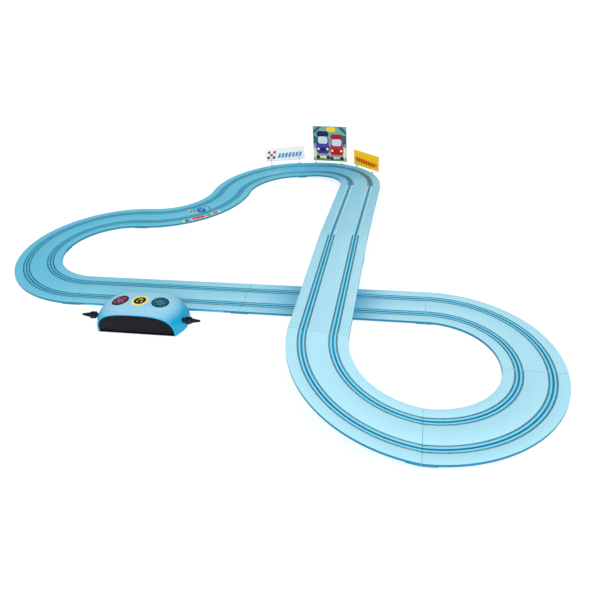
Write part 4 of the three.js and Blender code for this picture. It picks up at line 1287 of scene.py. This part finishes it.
def add_cells():
    """Four round cells: a sleeve with rolled ends, a can end and a nub."""
    for i in range(1, 5):
        node = f"cell_{i}"
        y, z, low, high, radius = axis_of(node)
        way = 1 if i <= 2 else -1
        start = low if way > 0 else high
        length = high - low
        body = length - CELL_NUB

        def place(along, size, angle):
            return start + way * along, y + size * math.cos(angle), z + size * math.sin(angle)

        edge, corner = CELL_ROLL, CELL_ROLL / 3
        sleeve = spun([
            (0, CELL_BASE_RADIUS), (0, radius - edge), (corner, radius - corner), (edge, radius),
            (body - edge, radius), (body - corner, radius - corner), (body, radius - edge),
            (body - 0.5 * MM, radius - 1.4 * MM), (body - 0.5 * MM, 4.2 * MM),
        ], place, 56)
        layer = sleeve.verts.layers.float_vector.new("along")
        for vertex in sleeve.verts:
            vertex[layer] = (way * (vertex.co.x - start), 0, 0)
        add_piece(f"{node}_sleeve", sleeve, LOOKS["cell"], stands_for=[node])
        nub = spun(zip((body - 0.6 * MM, body, length - 0.4 * MM, length), CELL_NUB_RADII), place, 32)
        add_piece(f"{node}_nub", nub, LOOKS["steel"])


SPRING_TURNS = 3
SPRING_STEPS = 24  # in a turn
SPRING_WIRE = 0.4 * MM
SPRING_WIDE_RADIUS = 6.5 * MM
SPRING_NARROW_RADIUS = 3.5 * MM


def add_springs():
    """Contact springs: a conical coil between the end plate and the first cell of each row."""
    for i, way in ((1, 1), (2, -1)):
        node = f"contact_spring_{i}"
        low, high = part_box(node)
        start, end = (low.x, high.x) if way > 0 else (high.x, low.x)
        start, end = start + way * SPRING_WIRE, end - way * SPRING_WIRE
        y, z = axis_of(f"cell_{2 * i}")[:2]
        points = []
        for k in range(SPRING_TURNS * SPRING_STEPS + 1):
            share = k / (SPRING_TURNS * SPRING_STEPS)
            angle = 2 * math.pi * SPRING_TURNS * share
            radius = SPRING_WIDE_RADIUS + (SPRING_NARROW_RADIUS - SPRING_WIDE_RADIUS) * share
            across, up = radius * math.cos(angle), radius * math.sin(angle)
            points.append((start + (end - start) * share, y + across, z + up))
        shape = bmesh.new()
        tube(shape, points, SPRING_WIRE, 10)
        add_piece(f"{node}_coil", shape, LOOKS["steel"], stands_for=[node])


# In mm from the head's underside: (height, radius), then the half-lengths of the cross's arms
SCREW_PROFILE = [(0, 1.7), (0.15, 2.4), (0.5, 2.75), (1.6, 2.8), (1.6, 1.3), (11.6, 1.3), (12.6, 0.3)]
SCREW_CROSS = [(1.5, 0.32), (0.32, 1.5)]


def add_screws():
    """Pan-head screws with a cross recess, seen from below."""
    for i in range(1, 5):
        node = f"tray_screw_{i}"
        low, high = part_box(node)
        x, y = (low.x + high.x) / 2, (low.y + high.y) / 2

        def place(along, size, angle):
            return x + size * MM * math.cos(angle), y + size * MM * math.sin(angle), low.z + along * MM

        recesses = []
        for reach, half in SCREW_CROSS:
            corner = (x - reach * MM, y - half * MM, low.z - 1 * MM)
            recesses.append(box_shape(corner, (x + reach * MM, y + half * MM, low.z + 1 * MM)))
        shape = cut(spun(SCREW_PROFILE, place, 32), *recesses)
        add_piece(f"{node}_turned", shape, LOOKS["steel"], stands_for=[node])


def add_inside():
    add_softened("base_tray", "black")
    add_softened("terminal_board", "board", width=0.15 * MM)
    for node in ("link_contact_plate", "positive_contact_plate", "negative_contact_plate"):
        add_softened(node, "steel", width=0.12 * MM)
    for i in range(1, 5):
        add_softened(f"feed_strip_{i}", "brass", width=0.08 * MM)
    add_cells()
    add_springs()
    add_screws()


# ------------------------------------------------------------------ boards beside the back curves

# Where each board's back faces, in degrees
SIGN_ANGLES = {"low_white_sign": 104, "tall_picture_sign": 84, "yellow_sign": 51}
CARD_THICKNESS = 1.2 * MM
CARD_CORNER = 1.5 * MM
POST_BEVEL = 0.04 * MM  # less than half of the smallest step in the posts' shape


class Board:
    """A board's place: u along it, v up it and lift towards the track, from its CAD node's box."""

    def __init__(self, node):
        low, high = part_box(node)
        angle = math.radians(SIGN_ANGLES[node])
        self.middle = (low + high) / 2
        self.bottom = low.z
        self.height = high.z - low.z
        self.along = Vector((math.sin(angle), -math.cos(angle), 0))
        self.inward = Vector((-math.cos(angle), -math.sin(angle), 0))
        spare = CARD_THICKNESS * abs(math.cos(angle))
        self.width = (high.x - low.x - spare) / abs(math.sin(angle))

    def place(self, u, v, lift):
        point = self.middle + self.along * u + self.inward * lift
        return point.x, point.y, self.bottom + v

    def sized(self, outline):
        """An outline drawn in shares of the board's width and height, at its real size."""
        return [(u * self.width, v * self.height) for u, v in outline]


def add_card(node, board, ink_depth):
    """The card itself, with rounded corners, and with room on its face for the ink."""
    face = CARD_THICKNESS / 2 - ink_depth
    shape = bmesh.new()
    outline = rounded(0, board.height / 2, board.width, board.height, CARD_CORNER)
    plate(shape, outline, board.place, -CARD_THICKNESS / 2, face)
    add_piece(f"{node}_card", shape, LOOKS["card"], node, [node])
    return face


def full_face(board, margin=0.0):
    return rounded(0, board.height / 2, board.width - 2 * margin, board.height - 2 * margin, CARD_CORNER)


def white_board_layers(board):
    """A slanting chequer pattern, red over navy, and a row of plain slanting bars on white."""
    w, h = board.width, board.height
    pitch = 0.2 * h
    square = 0.95 * pitch
    lean = 0.2

    def check(across, up):
        u, v = (across + lean * up) * pitch - 0.34 * w, 0.5 * h + up * pitch
        return rounded(u, v, square, square, 0.5 * MM, 2, lean)

    bars = [
        rounded((-0.14 + 0.088 * i) * w, (0.42 + 0.004 * i) * h, 0.062 * w, 0.34 * h, 1 * MM, 3, 0.35)
        for i in range(7)
    ]
    return [
        ((246, 245, 238), [full_face(board, 0.3 * MM)]),
        ((200, 44, 50), [check(-1, 1), check(1, 1), check(0, 0)]),
        ((26, 56, 112), [check(-1, -1), check(1, -1)]),
        ((86, 150, 212), bars),
    ]


class Truck:
    """A rounded toy truck seen from the front, as the outlines of its parts."""

    def __init__(self, u, foot, width, height):
        def part(across, up, part_width, part_height, corner=0.3):
            wide, tall = part_width * width, part_height * height
            return rounded(u + across * width, foot + up * height, wide, tall, corner * min(wide, tall))

        self.wheels = [part(side * 0.36, 0.07, 0.24, 0.14) for side in (-1, 1)]
        self.bumper = [part(0, 0.16, 0.94, 0.1)]
        self.body = [part(0, 0.37, 0.96, 0.36)]
        self.cab = [part(0, 0.64, 0.84, 0.36)]
        self.roof = [part(0, 0.9, 0.84, 0.2, 0.45)]
        self.glass = [part(0, 0.68, 0.68, 0.26)]
        self.grille = [part(0, 0.34, 0.4, 0.14)]
        self.lamps = [part(side * 0.32, 0.36, 0.16, 0.08, 0.49) for side in (-1, 1)]


def picture_board_layers(board):
    """Teal sky, dark stands and beams, a yellow sun, a pale road and two plain toy trucks."""
    w, h = board.width, board.height
    blue = Truck(-0.21 * w, 0.06 * h, 0.42 * w, 0.8 * h)
    red = Truck(0.2 * w, 0.04 * h, 0.42 * w, 0.74 * h)
    hills = [board.sized(outline) for outline in (
        [(-0.49, 0.44), (-0.1, 0.44), (-0.12, 0.58), (-0.49, 0.74)],
        [(0.1, 0.44), (0.49, 0.44), (0.49, 0.74), (0.32, 0.76), (0.14, 0.6)],
    )]
    beams = [board.sized(outline) for outline in (
        [(-0.49, 0.86), (-0.36, 0.985), (-0.24, 0.985), (-0.49, 0.76)],
        [(0.49, 0.86), (0.36, 0.985), (0.24, 0.985), (0.49, 0.76)],
    )]
    ground = board.sized([(-0.49, 0.02), (0.49, 0.02), (0.49, 0.4), (-0.49, 0.36)])
    grass = board.sized([(-0.49, 0.015), (0.49, 0.015), (0.49, 0.11), (0.0, 0.06), (-0.49, 0.1)])
    stands = [rounded((-0.45 + 0.1 * i) * w, 0.45 * h, 0.07 * w, 0.1 * h, 1 * MM, 2) for i in range(10)]
    sun = rounded(0.04 * w, 0.91 * h, 0.26 * w, 0.13 * h, 0.05 * w)
    return [
        ((110, 166, 150), [full_face(board, 0.3 * MM)]),
        ((40, 92, 116), hills + beams),
        ((228, 228, 184), [ground]),
        ((118, 138, 82), [grass]),
        ((128, 152, 204), stands),
        ((238, 200, 36), [sun]),
        ((34, 30, 44), blue.wheels + red.wheels),
        ((150, 156, 164), blue.bumper + red.bumper),
        ((56, 50, 132), blue.cab),
        ((174, 30, 48), red.cab),
        ((66, 60, 150), blue.body),
        ((190, 36, 52), red.body),
        ((24, 30, 78), blue.roof + blue.grille),
        ((160, 24, 40), red.roof + red.grille),
        ((196, 214, 222), blue.glass + red.glass),
        ((246, 236, 200), blue.lamps + red.lamps),
    ]


def yellow_board_layers(board):
    """A band of slanting red blocks with dark tails on yellow."""
    w, h = board.width, board.height

    def row(u, v, height):
        return [
            rounded((u + 0.095 * i) * w, (v - 0.012 * i) * h, 0.078 * w, height * h, 0.8 * MM, 3, -0.25)
            for i in range(9)
        ]

    return [
        ((255, 200, 0), [full_face(board, 0.3 * MM)]),
        ((150, 40, 24), row(-0.375, 0.38, 0.2)),
        ((226, 58, 20), row(-0.38, 0.43, 0.24)),
    ]


def add_boards():
    layers_of = {
        "low_white_sign": (white_board_layers, "white_card"),
        "tall_picture_sign": (picture_board_layers, "picture_card"),
        "yellow_sign": (yellow_board_layers, "yellow_card"),
    }
    for node, (layers, slot) in layers_of.items():
        board = Board(node)
        drawn = layers(board)
        face = add_card(node, board, len(drawn) * THIN_INK)
        add_print(node, drawn, board.place, slot, node, face)
        for side in ("left", "right"):
            add_softened(f"{node}_post_{side}", "clear", width=POST_BEVEL)


# ------------------------------------------------------------------ the S-bend's sticker


def add_bend_sticker():
    """A clear sticker on the S-bend: a blue ring under a loop of line, and a strip of bright blocks."""
    section = next(s for s in SECTIONS if s["name"] == "s_bend_curve")
    middle = section["start"] + section["length"] / 2

    def place(along, across, lift):
        return course_point(middle - along * MM, across * MM, lift)

    def block(start, end, low=38.5, high=48.5, corner=1.2):
        return rounded((start + end) / 2, (low + high) / 2, end - start, high - low, corner)

    loop = smooth_path([(-21, 16), (-18, 6), (-9, -6), (4, -10), (17, -9), (25, -1), (24, 10), (20, 16)])
    ring = [(2.8 + 7.6 * x, 5.5 + 10 * y) for x, y in arc(0, 0, 1, 0, 359, 60)]
    layers = [
        ((238, 246, 246), [block(-51, 29.5, 38, 49, 2)]),
        ((18, 78, 128), [(loop, 2.0)]),
        ((110, 172, 226), [disc(2.8, 5.5, 6)]),
        ((8, 40, 140), [(ring, 4.6)]),
        ((14, 26, 66), [disc(2.8, 5.5, 1.8), block(-37, -34.5), block(10.5, 12)]),
        ((236, 226, 150), [block(-25, -19.5, -17, -8, 2), block(-51, -46)]),
        ((86, 74, 30), [block(-24, -18.8, -8.5, 0, 1.5), block(-46, -38.5)]),
        ((226, 196, 84), [block(-22.5, -18, -0.5, 14, 1.5)]),
        ((222, 62, 28), [block(-31.5, -5, 35.5, 48, 4)]),
        ((246, 190, 190), [block(-27, -23, 42, 46, 1.9), block(-16, -13, 41, 44, 1.4)]),
        ((96, 160, 96), [block(0, 8)]),
        ((226, 106, 84), [block(13.5, 25.5)]),
        ((36, 124, 168), [block(-3.5, -0.8, 40, 47, 1)]),
    ]
    add_print("bend_sticker", layers, place, "white_card", "track", rings=3, edge=3)


# ------------------------------------------------------------------ studio and camera

CAMERA_PLACE = (0.66341, -0.99183, 0.64637)  # from where the course starts, on the table
CAMERA_AZIMUTH = -12.187  # degrees; negative looks to the left of +Y
CAMERA_TILT = -32.265
CAMERA_ROLL = 3.634
CAMERA_LENS = 37.785


def add_camera():
    azimuth, tilt, roll = (math.radians(v) for v in (CAMERA_AZIMUTH, CAMERA_TILT, CAMERA_ROLL))
    flat = Vector((math.sin(azimuth), math.cos(azimuth), 0))
    ahead = flat * math.cos(tilt) + Vector((0, 0, math.sin(tilt)))
    right = Vector((math.cos(azimuth), -math.sin(azimuth), 0))
    turn = Matrix.Rotation(roll, 3, ahead)
    right = turn @ right
    up = right.cross(ahead)
    data = bpy.data.cameras.new("camera")
    data.lens = CAMERA_LENS
    data.clip_end = 100
    camera = bpy.data.objects.new("camera", data)
    bpy.context.scene.collection.objects.link(camera)
    camera.matrix_world = Matrix((right, up, -ahead)).transposed().to_4x4()
    camera.location = Vector(CAMERA_PLACE) + Vector((SECTIONS[0]["x"], SECTIONS[0]["y"], 0))
    bpy.context.scene.camera = camera


FLOOR_HALF_SIZE = 30


def add_floor():
    shape = bmesh.new()
    bmesh.ops.create_grid(shape, x_segments=1, y_segments=1, size=FLOOR_HALF_SIZE)
    mesh = bpy.data.meshes.new("floor")
    shape.to_mesh(mesh)
    shape.free()
    mesh.materials.append(studio_floor())
    floor = bpy.data.objects.new("floor", mesh)
    floor.location.z = cad_box[0].z - 0.1 * MM
    bpy.context.scene.collection.objects.link(floor)


WORLD_STRENGTH = 0.86


def add_world():
    """An even white studio.  Mirrored in metal it is dark overhead, with a white band low down."""
    world = bpy.data.worlds.new("studio")
    world.use_nodes = True
    bpy.context.scene.world = world
    nodes, link = world.node_tree.nodes, world.node_tree.links.new
    direction = nodes.new("ShaderNodeTexCoord")
    height = nodes.new("ShaderNodeSeparateXYZ")
    link(direction.outputs["Generated"], height.inputs["Vector"])
    ramp = nodes.new("ShaderNodeValToRGB")
    link(height.outputs["Z"], ramp.inputs["Fac"])
    stops = [
        (0.0, (1.0, 1.0, 1.0, 1)),
        (0.03, (0.9, 0.98, 1.0, 1)),
        (0.12, (0.1, 0.29, 0.4, 1)),
        (0.8, (0.09, 0.27, 0.37, 1)),
        (1.0, (0.5, 0.62, 0.7, 1)),
    ]
    while len(ramp.color_ramp.elements) < len(stops):
        ramp.color_ramp.elements.new(0.5)
    for element, (position, colour) in zip(ramp.color_ramp.elements, stops):
        element.position = position
        element.color = colour
    mirrored = nodes["Background"]
    link(ramp.outputs["Color"], mirrored.inputs["Color"])
    even = nodes.new("ShaderNodeBackground")
    even.inputs["Color"].default_value = (1, 1, 1, 1)
    even.inputs["Strength"].default_value = WORLD_STRENGTH
    rays = nodes.new("ShaderNodeLightPath")
    blend = nodes.new("ShaderNodeMixShader")
    link(rays.outputs["Is Glossy Ray"], blend.inputs["Fac"])
    link(even.outputs["Background"], blend.inputs[1])
    link(mirrored.outputs["Background"], blend.inputs[2])
    link(blend.outputs["Shader"], nodes["World Output"].inputs["Surface"])


KEY_POWER = 8
FRONT_POWER = 30


def add_lamp(name, place, target, size, power):
    data = bpy.data.lights.new(name, "AREA")
    data.shape = "DISK"
    data.size = size
    data.energy = power
    lamp = bpy.data.objects.new(name, data)
    bpy.context.scene.collection.objects.link(lamp)
    lamp.location = place
    lamp.rotation_mode = "QUATERNION"
    lamp.rotation_quaternion = (Vector(target) - Vector(place)).to_track_quat("-Z", "Y")


def add_studio():
    bpy.context.scene.view_settings.view_transform = "Standard"
    add_camera()
    add_floor()
    add_world()
    add_lamp("key", (1.2, -0.6, 2.2), (0.1, 0, 0), 1.6, KEY_POWER)
    add_lamp("front", (0.6, -2.6, 0.7), (0.1, 0.5, 0.05), 1.6, FRONT_POWER)


# ------------------------------------------------------------------ the set

add_studio()
add_sections()
add_rails()
add_supports()
add_shell()
add_door()
add_plugs()
add_inside()
add_stickers()
add_boards()
add_bend_sticker()
